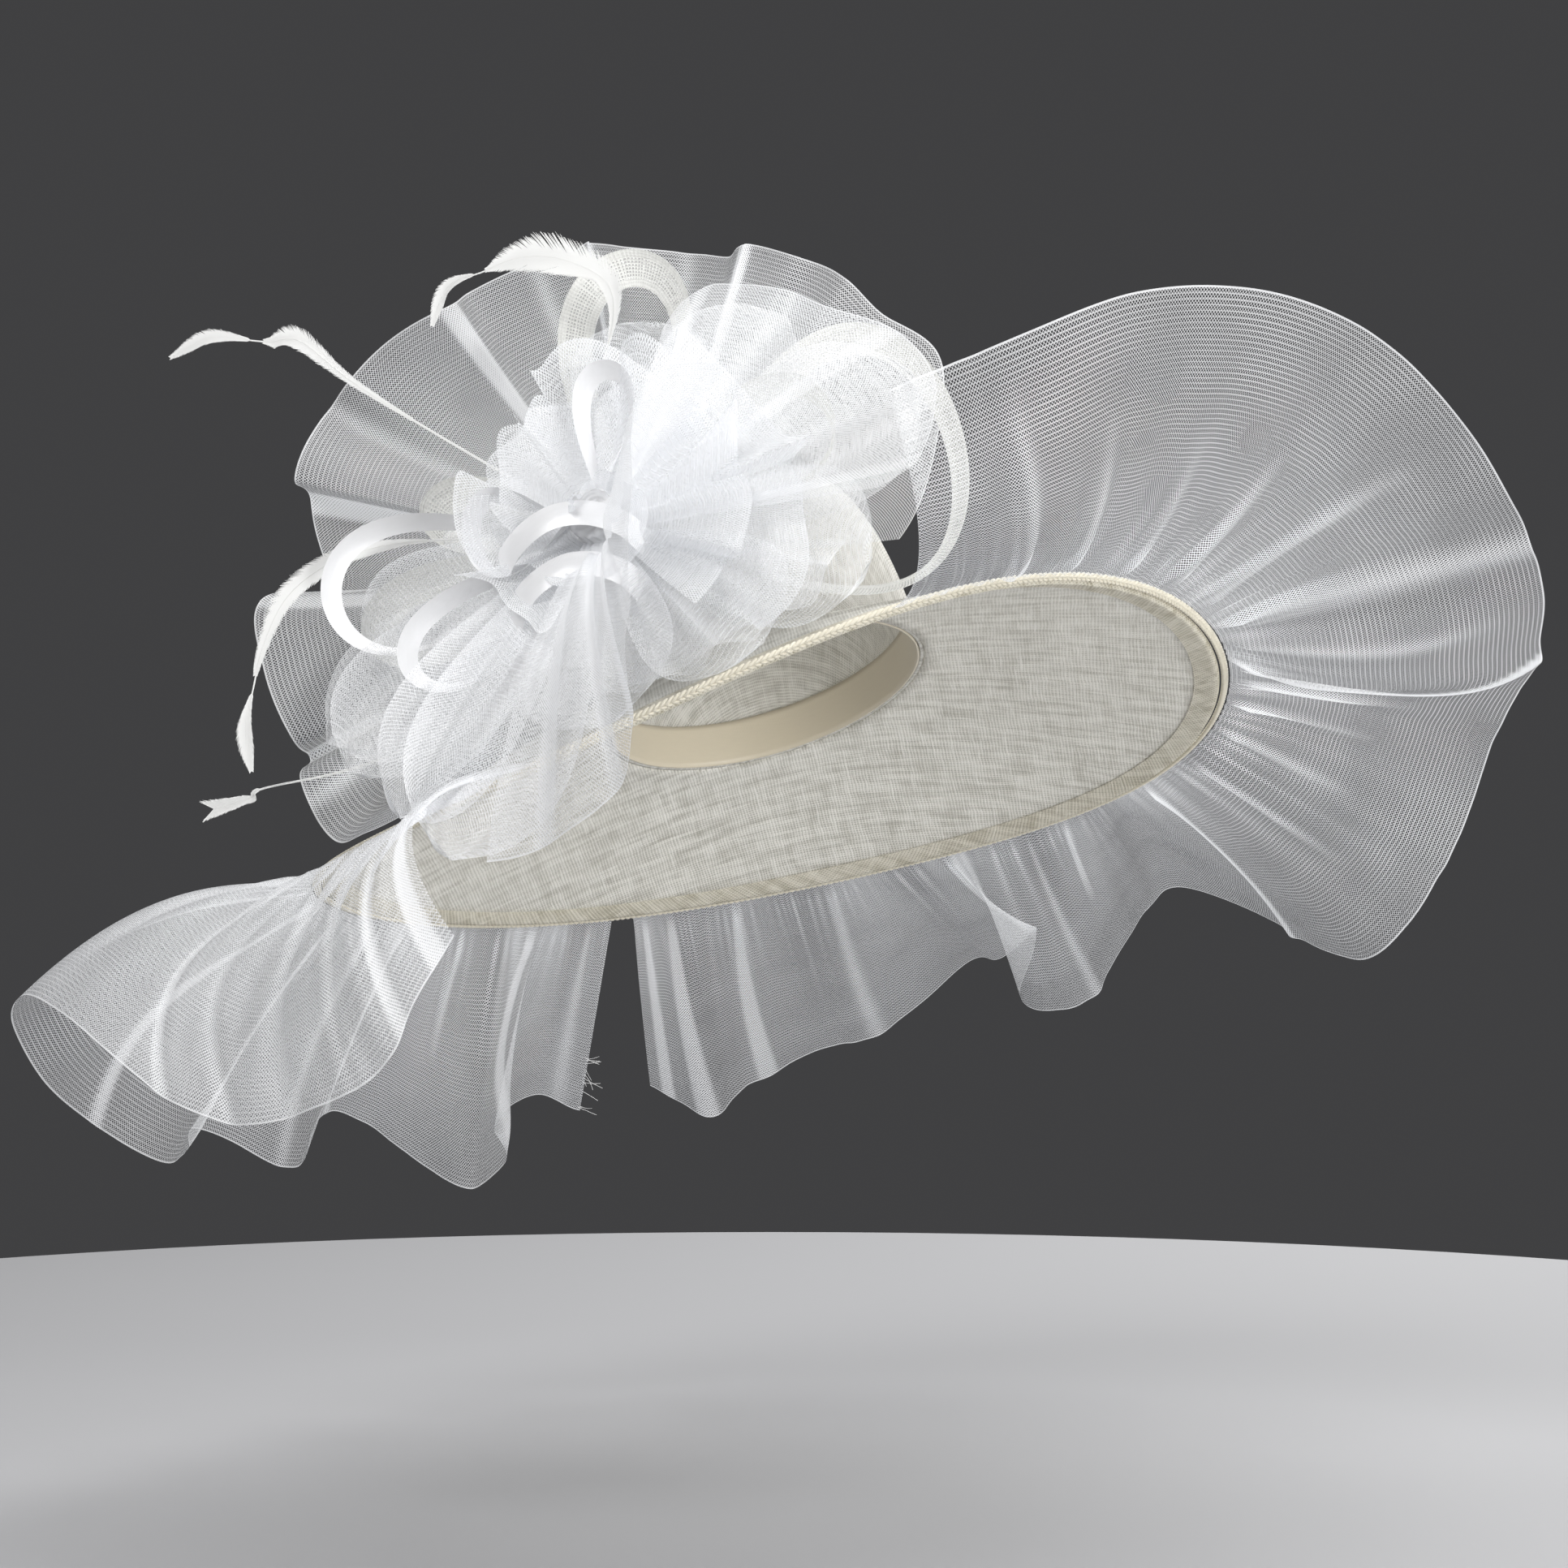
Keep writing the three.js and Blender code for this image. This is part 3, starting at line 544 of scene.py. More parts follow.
def edge_fold():
    fine = np.arange(0, 360, 0.75)
    inner = 1 - FOLD_WIDTH / np.linalg.norm(brim_edge(fine) - brim_point(fine, 0), axis=-1)
    pucker = sum(high * np.sin(np.radians(fine * count + start)) for high, count, start in PUCKERS)

    def leg(side):
        return [
            brim_point(fine, inner + (1 - inner) * share,
                       side * (FOLD_RISE + FOLD_LEG_EASE + pucker * math.sin(math.pi * share)))
            for share in np.linspace(0, 1, FOLD_LEG_ROWS)
        ]

    lip = brim_edge(fine, FOLD_RISE + FOLD_LIP_EASE)
    grid = closed(np.array(leg(1) + [lip] + leg(-1)[::-1]), 1)
    flat = flat_grid(along(grid[:, 0]), along(grid[FOLD_LEG_ROWS]))
    piece = new_piece("bias_fold", placed(HAT, grid), STRAW_FOLD, "edge_fold", flat)


edge_fold()

# %% [markdown]
# ## The plaited cord
# A cream cord is sewn over the seam where the net meets the brim. It could be one tube with a
# bump for the plait, but its outline shows against the dark ground, so the strands are real. Four
# thin tubes go round the brim together. Each swings from side to side once a turn and rises twice
# a turn, a quarter of a turn behind the one before it, and so they cross over and under.

# %% Cord material
def yarn_material(name, light, dark):
    """Twisted yarn: u runs along a strand and v round it."""
    cloth = Cloth(name, Roughness=0.55, Specular_IOR_Level=0.35, Sheen_Weight=0.2)
    twist = threads(cloth.u + cloth.v * 1.3, 0.7, 0.36)
    patches = cloth.noise(cloth.u / 6, cloth.v / 3, 2)
    cloth.into(Base_Color=(twist * 0.6 + patches * 0.4).colour(dark, light))
    return cloth.bump(twist, 0.5, 0.0003).done()


CORD = yarn_material("cord_cream", (0.93, 0.89, 0.77), (0.66, 0.60, 0.46))

# %% Plaited cord
CORD_DIAMETER = 4.5
CORD_PLACE = FOLD_RISE + FOLD_THICKNESS / 2 + GAP + CORD_DIAMETER / 2
CORD_TURNS, CORD_STEPS, CORD_STRANDS, CORD_SIDES = 118, 18, 4, 6
STRAND_RADIUS, STRAND_SWING, STRAND_LIFT, PLAIT_TILT = 0.95, 1.25, 0.62, 0.55


def edge_cord():
    fine = np.linspace(0, 360, CORD_TURNS * CORD_STEPS, endpoint=False)
    build = blank()
    for strand in range(CORD_STRANDS):
        phase = np.radians(fine * CORD_TURNS) + 2 * math.pi * strand / CORD_STRANDS
        side = STRAND_SWING * np.cos(phase)
        centre = brim_edge(fine, CORD_PLACE + side,
                           STRAND_LIFT * np.sin(2 * phase) + PLAIT_TILT * side)
        ahead = unit(np.roll(centre, -1, axis=0) - np.roll(centre, 1, axis=0))
        first = unit(np.cross(ahead, [0, 0, 1]))
        second = np.cross(ahead, first)
        corners = 2 * math.pi * np.arange(CORD_SIDES)[:, None, None] / CORD_SIDES
        tube = centre + STRAND_RADIUS * (first * np.cos(corners) + second * np.sin(corners))
        flat = flat_grid(np.arange(CORD_SIDES + 1), along(closed(centre, 0)))
        lay(build, placed(HAT, closed(closed(tube, 0), 1)), flat)
    finished("plaited_cord", sewn(build), CORD, "edge_cord")


edge_cord()

# %% [markdown]
# ## The head ribbon
# A beige grosgrain ribbon lines the head opening. Grosgrain has ribs across it, which catch the
# light, and a ribbon pulled round an oval stands a little uneven. An Array of ribs would need
# hundreds of faces for what bump shows as well. So the ribbon is a thin wall that follows the
# crown's foot, with five soft waves, and its ribs are threads in the material, bumped and painted
# lighter as a painted highlight. Streaks of gloss are painted into its colour too, as painted
# sheen. The same material without wide ribs is satin.

# %% Satin and grosgrain
def satin_material(name, colour, roughness, rib=0.5):
    """A ribbon with ribs across it and long streaks of gloss, both painted into its colour as
    painted sheen.
    """
    cloth = Cloth(name, Roughness=roughness, Specular_IOR_Level=0.6, Coat_Weight=0.25,
                  Coat_Roughness=0.22, Sheen_Weight=0.3)
    ribs = threads(cloth.u, rib, rib * 0.5)
    streaks = cloth.noise(cloth.u / 8, cloth.v / 1.5, 2)
    # painted sheen and shade: the colour is lighter on the gloss streaks and the ribs, and shade is
    # the darker colour between them
    shade = tuple(channel * 0.93 for channel in colour)
    cloth.into(Base_Color=(streaks * 0.7 + ribs * 0.3).colour(shade, colour))
    return cloth.bump(ribs + streaks * 0.6, 0.18, 0.0002).glowing_through(0.08).done()


SATIN = satin_material("satin_white", (0.97, 0.97, 0.98), 0.24)
GROSGRAIN = satin_material("ribbon_beige", (0.78, 0.70, 0.54), 0.5, 0.9)

# %% Head ribbon
RIBBON_HEIGHT, RIBBON_THICKNESS, RIBBON_ROWS = 24, 1, 9
RIBBON_AIR = 2.2 * GAP
RIBBON_WAVE, RIBBON_WAVES = 0.1, 5


def head_ribbon():
    heights = np.linspace(0, RIBBON_HEIGHT / CROWN_HEIGHT, RIBBON_ROWS)
    widths = smooth(CROWN_SECTIONS, "height", heights)["width"]
    inset = RIBBON_WAVE * np.sin(np.radians(STATIONS * RIBBON_WAVES)) - RIBBON_AIR
    outer = [crown_point(STATIONS, width, 0, inset) for width in widths]
    inner = [crown_point(STATIONS, width, 0, inset - RIBBON_THICKNESS) for width in widths]
    for row, other, height in zip(outer, inner, heights):
        row[:, 2] = other[:, 2] = CROWN_HEIGHT * height
    grid = closed(np.array(outer + inner[::-1]), 1)
    across = along(grid[:, 0])
    flat = flat_grid(np.append(across, across[-1]), along(grid[0]))
    new_piece("head_band_ribbon", placed(HAT, closed(grid, 0)), GROSGRAIN,
              "head_ribbon", flat)


head_ribbon()

# %% [markdown]
# ## Net
# Crinoline is a sheer braid of clear threads that slant both ways. It is stiffer along a few
# heavy threads, which show as fine lines beside its edge. Where it is gathered, its threads lie
# closer and it looks white, and where it hangs free one sees through it. Transparency that is
# the same all over would look like plastic film. So two slanting sets of threads are opened
# between, and the attribute `gather` widens them where the cloth is squeezed.

# %% Net material
RUFFLE_WIDTH, FLOUNCE_WIDTH, NET_THICKNESS = 172, 190, 1
NET_PITCH, NET_THREAD, NET_SLANT = 1.6, 0.33, 0.8
NET_FULL = 0.96  # the widest that threads grow, as a share of their pitch
RIB_PITCH, RIB_WIDTH, SELVAGE_COVER = 2.7, 0.7, 0.72


def net_material(name, cover, width):
    """Net whose threads cover more of it where it is gathered, with a selvage at its edge."""
    cloth = Cloth(name, Roughness=0.42, Specular_IOR_Level=0.45)
    squeeze = cloth.attribute("gather")
    wide = (squeeze * NET_THREAD * cover).math("MINIMUM", NET_PITCH * NET_FULL)
    wobble = cloth.noise(cloth.u / 9, cloth.v / 9, 1) * 0.5
    first = threads(cloth.u + cloth.v * NET_SLANT + wobble, NET_PITCH, wide)
    second = threads(cloth.u - cloth.v * NET_SLANT + wobble, NET_PITCH, wide)
    fading = cloth.noise(cloth.u / 60, cloth.v / 40, 1).ramp(0.30, 0.66, 0.24, 0.48)
    ribs = threads(cloth.v, RIB_PITCH, RIB_WIDTH) * fading
    selvage = (cloth.v - width).ramp(-1.2, -0.8) * SELVAGE_COVER
    patches = cloth.noise(cloth.u / 40, cloth.v / 25, 2)
    cloth.into(Base_Color=patches.colour((0.91, 0.915, 0.93), (0.98, 0.98, 0.985)))
    cloth.glowing_through(0.35, (0.95, 0.97, 1.0))
    return cloth.open_where(first.most(second).most(ribs).most(selvage) * 0.98).done()


RIGHT_NET = net_material("net_right_band", 0.66, RUFFLE_WIDTH)
LEFT_NET = net_material("net_left_band", 0.84, RUFFLE_WIDTH)
FLOUNCE_NET = net_material("net_flower", 0.94, FLOUNCE_WIDTH)
LEAF_NET = net_material("net_leaves", 0.82, FLOUNCE_WIDTH)
RUCHE_NET = net_material("net_ruches", 1.05, FLOUNCE_WIDTH)

# %% [markdown]
# ## How a band of net is gathered
# A straight band gathered at one edge fans out at the other. Cloth simulation could drape it, and
# its folds would fall where they like. Here a table gives each fold's root at the seam and its
# tip in the air, as in the solid model. Small tucks start at the seam and die out, wider creases
# run on from them, and the free edge flutters. `pressed` lists the white lines that cross the
# net, which are folds that were pressed flat: each raises a ridge and squeezes the threads.

# %% The band's surface
BAND_ROWS = 36


def uneven(phase, drift, slow):
    """A wave whose crests come early and late, as a slower wave goes."""
    return np.sin(phase + drift * np.sin(slow))


def hung(folds, width, root_of, tip_of, columns):
    """The band from its seam to its tip, bowed as the table says, before it is gathered."""
    at = np.linspace(folds["root"].min(), folds["root"].max(), columns)
    fold = smooth(folds, "root", at)
    start, end = root_of(fold), tip_of(fold)
    chord = end - start
    level = unit(chord * [1, 1, 0])
    rise = unit(points(0, 0, np.hypot(chord[:, 0], chord[:, 1])) - level * chord[:, 2:])
    share = np.linspace(0, 1, BAND_ROWS)[:, None, None]
    bow = 4 * share * (1 - share) * fold["bow"][:, None] * width
    return at, start + chord * share + rise * bow


print("a band of net is", BAND_ROWS, "rows of points across")

# %% Tucks, creases and pressed folds
TUCK_HEIGHT, TUCK_FADE = 0.2, 0.22  # as shares of the pleat and of the way down the band
CREASE_HEIGHT, CREASE_FADE = 4.2, 0.38
FLUTTER_HEIGHT = 1.3
PRESSED_DENSITY = 1.3


def gathers(gathered, spread, down, pleat):
    """How far the tucks, the creases and the flutter lift the net."""
    phase = gathered * 2 * math.pi / pleat
    tucks = uneven(phase, 1.3, phase / 4.3) * np.exp(-down / TUCK_FADE) * pleat * TUCK_HEIGHT
    creases = uneven(phase / 2.7, 1.1, phase / 7.7) * np.sqrt(down)
    creases = creases * np.exp(-down / CREASE_FADE) * CREASE_HEIGHT
    flutter = uneven(spread / 15, 1.7, spread / 61) * down**3 * FLUTTER_HEIGHT
    return (tucks + creases) * np.minimum(1, down * 8 + 0.35) + flutter


def press(pressed, at, lying, down):
    """How far the pressed folds lift the net, and how much denser it is on them."""
    lift = dense = np.zeros_like(lying)
    for place, wide, gain, high, wander, fade in pressed:
        centre = place + wander * np.sin(math.pi * down[:, 0])
        middles = [np.interp(middle, at, row) for row, middle in zip(lying, centre)]
        beside = (lying - np.array(middles)[:, None]) / (wide * (0.3 + 0.7 * down))
        shade = np.clip((fade - down) / 0.3, 0, 1) * np.minimum(1, down * 12)
        sharpness = 6 if gain > 1 else 2
        dense = dense + PRESSED_DENSITY * gain * shade * np.exp(-np.abs(beside) ** sharpness)
        lift = lift + high * shade * np.exp(-(beside / 1.6) ** 2)
    return lift, dense


print("tucks stand", TUCK_HEIGHT, "of a pleat high, creases", CREASE_HEIGHT, "mm")

# %% The gathered band
def band(folds, pressed, width, root_of, tip_of, columns, pleat):
    """A gathered band: its grid, its flat cloth, how it is squeezed and its length."""
    at, grid = hung(folds, width, root_of, tip_of, columns)
    across, side = unit(np.gradient(grid, axis=0)), unit(np.gradient(grid, axis=1))
    normal = unit(np.cross(side, across))
    gathered, spread = along(grid[0]), along(grid[-1])
    down = np.linspace(0, 1, BAND_ROWS)[:, None]
    lying = gathered + (spread - gathered) * down
    ridges, dense = press(pressed, at, lying, down)
    lift = gathers(gathered, spread, down, pleat) + ridges
    slope = np.gradient(lift, axis=1) / np.maximum(np.gradient(lying, axis=1), 0.3)
    grid = grid + normal * lift[..., None]
    local = np.linalg.norm(np.gradient(grid, axis=1), axis=-1)
    squeeze = np.clip((np.gradient(spread)[None, :] / np.maximum(local, 0.05)) ** 0.6, 0.9, 2.4)
    squeeze = squeeze + dense + 1.1 * np.minimum(slope**2, 1.2)
    return grid, flat_grid(np.linspace(0, width, BAND_ROWS), spread), squeeze, spread[-1]


flat_fold = table("root tip", [(0, 0), (100, 150)]) | {"bow": np.zeros(2)}
trial_band = band(flat_fold, [], 50, lambda fold: points(fold["root"], 0, 0),
                  lambda fold: points(fold["tip"], 50, 0), 300, 5)
print("a seam of 100 mm that fans out to 150 mm is squeezed", trial_band[2].max().round(1), "times")

# %% [markdown]
# ## The two ruffles
# Two lengths of net are sewn round the brim's edge. The first stands up like a fan on the right
# and hangs down behind, and the second starts behind with a raw end and curls round the left side
# to the front. A table's row gives a fold's heading at the seam and at the tip, how far the tip
# stands out and up, and how far the fold bows, as shares of the band's width. Draping a plane
# would lose these folds, which are what tells one side of this hat from another.

# %% Folds of the right ruffle
RUFFLE_RIGHT = table("root tip out up bow", [
    (288, 286, 0.52, 0.43, -0.26), (298, 290, 0.60, 0.43, -0.24), (306, 296, 0.69, 0.45, -0.20),
    (313, 304, 0.79, 0.49, -0.14), (320, 313, 0.88, 0.46, -0.09), (327, 321, 0.94, 0.37, -0.04),
    (334, 329, 0.97, 0.22, 0.00), (340, 338, 0.97, 0.06, 0.02), (345, 346, 0.97, -0.05, 0.05),
    (349, 352, 0.96, -0.11, -0.03), (353, 359, 0.94, -0.16, -0.09), (355, 364, 0.95, -0.16, -0.10),
    (358, 370, 0.93, -0.15, -0.03), (364, 378, 0.93, -0.19, 0.02), (372, 385, 0.93, -0.32, 0.04),
    (380, 390, 0.87, -0.47, 0.00), (388, 395, 0.82, -0.59, 0.03), (393, 402, 0.80, -0.62, 0.04),
    (398, 411, 0.90, -0.37, 0.04), (403, 419, 0.92, -0.12, 0.05), (408, 423, 0.93, -0.15, 0.00),
    (414, 427, 0.89, -0.33, 0.00), (419, 429, 0.88, -0.41, 0.00), (423, 432, 0.88, -0.42, 0.00),
    (427, 435, 0.90, -0.32, 0.00), (430, 432, 0.89, -0.10, -0.04), (434, 436, 0.95, -0.16, 0.00),
    (439, 439, 0.98, -0.14, 0.00), (446, 447, 0.94, -0.32, 0.02), (454, 452, 0.93, -0.33, 0.00),
    (461, 458, 0.90, -0.40, 0.02), (468, 462, 0.86, -0.50, 0.00), (473, 466, 0.89, -0.35, 0.00),
])
# a pressed fold's heading, width, density, height, wander and where it fades
FOLDS_RIGHT = [
    (354.5, 6.5, 3.4, 3.0, 3.4, 1.3), (345, 8, 1.0, 4.5, 1.0, 1.3), (338, 7, 0.9, 4.5, -1.0, 0.8),
    (330, 7, 0.9, 4.0, -1.5, 0.6), (321, 6, 0.7, 3.5, -1.5, 0.6), (312, 6, 0.7, 3.0, -1.0, 0.7),
    (303, 6, 0.7, 3.0, 1.0, 0.9), (361, 4, 0.8, 3.0, 1.0, 0.7), (368, 5, 1.0, 3.5, 1.2, 0.6),
    (376, 5, 1.0, 3.5, 1.0, 0.6), (397, 4.5, 2.4, 3.0, -1.0, 1.3), (386, 5, 1.0, 3.0, 1.0, 0.7),
    (412, 4, 1.3, 2.5, 0.5, 0.6), (430, 8, 1.6, 1.0, 0.0, 1.3), (350, 5, 0.8, 3.0, 1.0, 0.9),
    (459, 7, 1.2, 2.0, 0.5, 1.3), (446, 6, 0.8, 2.0, 0.5, 1.3), (418, 4, 0.8, 2.0, 0.5, 1.3),
    (468, 7, 1.3, 2.0, 0.5, 1.3), (471.5, 5, 1.5, 1.0, 0.0, 1.3),
]
print("right ruffle:", len(RUFFLE_RIGHT["root"]), "folds,", len(FOLDS_RIGHT), "pressed")

# %% Folds of the left ruffle
RUFFLE_LEFT = table("root tip out up bow", [
    (116, 112, 0.92, -0.39, 0.00), (122, 115, 0.95, -0.30, 0.00), (126, 120, 0.90, -0.42, 0.02),
    (129, 121, 0.82, -0.57, 0.02), (132, 126, 0.73, -0.68, 0.03), (139, 129, 0.81, -0.56, 0.02),
    (146, 132, 0.92, -0.35, 0.00), (150, 136, 0.92, -0.32, 0.00), (153, 141, 0.84, -0.51, 0.02),
    (158, 145, 0.82, -0.54, 0.03), (165, 153, 0.90, -0.40, 0.00), (168, 158, 0.83, -0.53, 0.03),
    (172, 164, 0.80, -0.58, 0.04), (176, 170, 0.86, -0.50, 0.03), (180, 180, 0.93, -0.36, 0.05),
    (184, 187, 0.96, -0.21, 0.09), (188, 195, 0.92, -0.20, 0.11), (192, 202, 0.88, -0.27, 0.12),
    (198, 209, 0.80, -0.49, 0.08), (204, 212, 0.68, -0.69, 0.12), (210, 216, 0.56, -0.80, 0.09),
    (216, 221, 0.47, -0.82, 0.13), (223, 226, 0.41, -0.81, 0.18), (230, 229, 0.38, -0.78, 0.22),
    (236, 232, 0.38, -0.73, 0.24), (241, 234, 0.34, -0.62, 0.24), (245, 237, 0.24, -0.46, 0.24),
])
FOLDS_LEFT = [
    (177, 5, 1.9, 2.0, 2.0, 1.2), (203, 5, 1.3, 3.0, -4.0, 1.2), (190, 7, 0.6, 3.0, 2.0, 0.9),
    (167, 4, 1.4, 2.0, 2.0, 1.2), (215, 6, 0.7, 4.0, -3.0, 1.2), (150, 5, 1.4, 2.0, 2.0, 1.2),
    (127.5, 8, 1.5, 2.0, 3.0, 1.2), (139, 4, 0.9, 3.0, 1.0, 0.6), (226, 6, 0.6, 3.0, -2.0, 1.0),
    (238, 7, 1.6, 3.0, 1.0, 1.2), (158, 4, 0.8, 2.0, 1.0, 1.2), (119, 6, 0.6, 2.0, 0.5, 1.2),
    (243.6, 7, 2.2, 2.0, 0.0, 1.3), (209, 4, 0.7, 3.0, -4.0, 1.2), (184, 5, 0.8, 3.0, 2.0, 0.8),
]
print("left ruffle:", len(RUFFLE_LEFT["root"]), "folds,", len(FOLDS_LEFT), "pressed")

# %% Ruffles
RUFFLE_SEAM = CORD_PLACE + CORD_DIAMETER / 2 + 2 * GAP
RUFFLE_PLEAT = 7.5


def ruffle(name, node, folds, pressed, columns, material):
    def root_of(fold):
        return brim_edge(fold["root"], RUFFLE_SEAM)

    def tip_of(fold):
        return brim_edge(fold["tip"], RUFFLE_SEAM + fold["out"] * RUFFLE_WIDTH,
                         fold["up"] * RUFFLE_WIDTH)

    grid, flat, squeeze, length = band(folds, pressed, RUFFLE_WIDTH, root_of, tip_of, columns,
                                       RUFFLE_PLEAT)
    piece = new_piece(name, placed(HAT, grid), material, node, flat, squeeze)
    metres(length, 2)
    return grid


ruffle("net_ruffle_right", "ruffle_right", RUFFLE_RIGHT, FOLDS_RIGHT, 1500, RIGHT_NET)
left_ruffle = ruffle("net_ruffle_left", "ruffle_left", RUFFLE_LEFT, FOLDS_LEFT, 1100, LEFT_NET)

# %% [markdown]
# ## The flower's stalk
# Everything in the flower is sewn to a stalk of net that was wound on itself. It could be a plain
# cylinder, because little of it shows, but its end is seen between the loops. So its rings are
# waved round by the turns of the net, and its end closes in a few shrinking rings.

# %% Stalk
STALK_SIDES, STALK_ROWS, STALK_END_ROWS = 96, 40, 12
STALK_ROUND = 82  # millimetres of flat net round the stalk
SIDE_WAVE, END_WAVE = 0.45, 0.5


def stalk():
    around = np.linspace(0, 2 * math.pi, STALK_SIDES, endpoint=False)
    rows = []
    for level in np.linspace(0, CORE_LENGTH - 2, STALK_ROWS):
        radius = CORE_RADIUS - 0.6 + SIDE_WAVE * np.sin(around * 17 + level * 0.16)
        rows.append(points(radius * np.cos(around), radius * np.sin(around), level))
    for radius in np.linspace(CORE_RADIUS - 2.5, 0.05, STALK_END_ROWS):
        bulge = CORE_LENGTH - 0.8 + END_WAVE * np.sin(around * 9 + radius * 2.2)
        rows.append(points(radius * np.cos(around), radius * np.sin(around), bulge))
    grid = closed(np.array(rows), 1)
    flat = flat_grid(along(grid[:, 0]), np.linspace(0, STALK_ROUND, STALK_SIDES + 1))
    new_piece("flower_stalk", placed(FLOWER, grid), SATIN, "flower_core", flat)


stalk()

# %% [markdown]
# ## The flounces
# Four fans of net make the flower's large outline: a wide one behind, two smaller ones in the
# middle and below, and one in front that falls over the brim. They are gathered like the ruffles,
# round the stalk instead of the brim. A fold's tip is given by its reach from the stalk and its
# lift towards the viewer, as shares of the net's width. Their net is cut as fans, so each has
# about half of the area that a straight band of its size would have.

# %% Folds of the back flounce
FLOUNCE_BACK = table("root tip reach lift bow", [
    (-14, -12, 0.62, -0.05, 0.00), (-2, 9, 0.79, -0.10, 0.00), (12, 21, 0.90, -0.10, 0.00),
    (25, 33, 0.87, -0.10, 0.00), (36, 41, 0.89, -0.06, 0.00), (46, 51, 0.91, -0.12, 0.00),
    (55, 57, 0.85, 0.07, 0.00), (62, 63, 0.86, -0.10, 0.00), (71, 73, 0.90, -0.15, 0.00),
    (79, 82, 0.92, -0.12, 0.00), (85, 85, 0.87, 0.08, 0.00), (91, 90, 0.94, -0.10, 0.00),
    (99, 98, 0.97, -0.10, 0.00), (107, 108, 0.96, -0.05, 0.00), (113, 111, 0.89, 0.08, 0.00),
    (123, 124, 1.00, 0.00, 0.00), (133, 136, 1.00, 0.04, 0.00), (142, 149, 0.93, 0.18, 0.00),
    (149, 150, 0.96, 0.00, 0.00), (158, 164, 0.86, 0.00, 0.00), (166, 169, 0.97, 0.20, -0.04),
    (176, 180, 0.97, 0.24, -0.05), (187, 193, 0.96, 0.24, -0.03), (194, 194, 0.97, 0.12, 0.00),
    (202, 198, 1.00, 0.21, 0.02), (212, 210, 1.02, 0.27, 0.05), (220, 219, 0.93, 0.45, 0.05),
    (228, 228, 0.76, 0.56, 0.06), (236, 237, 0.63, 0.62, 0.06),
])
FOLDS_BACK = [
    (149, 6, 2.2, 1.5, 0.0, 1.2), (113, 7, 1.9, 1.5, 1.0, 1.2), (85, 7, 2.2, 1.5, 1.0, 1.2),
    (55, 6, 1.7, 1.5, -1.0, 1.2), (24, 5, 0.9, 2.0, 1.0, 0.8), (194, 6, 1.8, 1.5, 0.0, 1.2),
    (166, 6, 1.2, 2.0, 1.0, 1.2), (206, 6, 1.0, 2.0, 0.0, 1.2), (98, 5, 0.6, 2.0, 0.0, 1.2),
    (132, 5, 0.6, 2.0, 1.0, 1.2), (70, 5, 0.6, 2.0, 0.0, 1.2), (4, 6, 0.9, 2.0, 0.0, 1.2),
]
print("back flounce:", len(FLOUNCE_BACK["root"]), "folds")

# %% Folds of the smaller flounces
FLOUNCE_MIDDLE = table("root tip reach lift bow", [
    (66, 52, 0.36, 0.12, 0.02), (60, 52, 0.48, 0.15, 0.00), (53, 46, 0.58, 0.18, 0.00),
    (46, 39, 0.63, 0.18, 0.00), (38, 30, 0.69, 0.18, 0.00), (29, 22, 0.74, 0.16, 0.00),
    (20, 13, 0.84, 0.12, 0.00), (11, 6, 0.88, 0.10, 0.00), (2, -1, 0.88, 0.13, 0.00),
    (-7, -9, 0.84, 0.17, 0.00), (-17, -18, 0.73, 0.25, 0.00),
])
FOLDS_MIDDLE = [
    (53, 5, 1.2, 2.0, 1.0, 1.2), (36, 6, 0.9, 2.0, -1.0, 1.2), (20, 5, 1.2, 2.0, 1.0, 1.2),
    (5, 5, 0.9, 2.0, 0.0, 1.2), (-10, 5, 1.1, 2.0, 0.0, 1.2),
]
FLOUNCE_LOWER = table("root tip reach lift bow", [
    (-22, -22, 0.58, 0.04, 0.00), (-30, -30, 0.57, 0.14, 0.02), (-38, -38, 0.54, 0.06, 0.00),
    (-47, -47, 0.50, 0.17, 0.02), (-55, -55, 0.47, 0.09, 0.00), (-63, -63, 0.44, 0.19, 0.02),
    (-72, -72, 0.43, 0.10, 0.00), (-81, -81, 0.42, 0.20, 0.02), (-91, -91, 0.41, 0.11, 0.00),
    (-101, -101, 0.42, 0.20, 0.02), (-112, -111, 0.44, 0.12, 0.00), (-122, -121, 0.47, 0.18, 0.00),
])
FOLDS_LOWER = [(heading, 5, 0.8, 2.0, 0.0, 1.2) for heading in (-30, -63, -101)]
FLOUNCE_FRONT = table("root tip reach lift bow", [
    (236, 246, 0.92, 0.30, 0.12), (246, 252, 0.90, 0.32, 0.14), (256, 260, 0.86, 0.36, 0.15),
    (265, 266, 0.83, 0.40, 0.15), (274, 272, 0.78, 0.46, 0.13), (283, 277, 0.69, 0.52, 0.10),
    (296, 286, 0.52, 0.60, 0.07), (312, 306, 0.32, 0.62, 0.05), (334, 342, 0.22, 0.58, 0.03),
    (356, 372, 0.26, 0.50, 0.02), (370, 378, 0.36, 0.43, 0.00), (382, 372, 0.46, 0.36, 0.00),
])
FOLDS_FRONT = [
    (250, 7, 1.6, 3.0, 2.0, 1.2), (270, 6, 1.4, 3.0, 1.0, 1.2), (284, 6, 1.6, 2.0, 0.0, 1.2),
    (300, 5, 0.8, 2.0, 0.0, 1.2), (340, 6, 0.8, 2.0, 0.0, 1.2), (372, 5, 0.9, 2.0, 0.0, 1.2),
]
print("front flounce:", len(FLOUNCE_FRONT["root"]), "folds")

# %% Flounces
SEWN = GAP + NET_THICKNESS / 2
FLARED = 0.55  # a fan's share of a straight band's area
FLOUNCE_PLEAT = 3.4


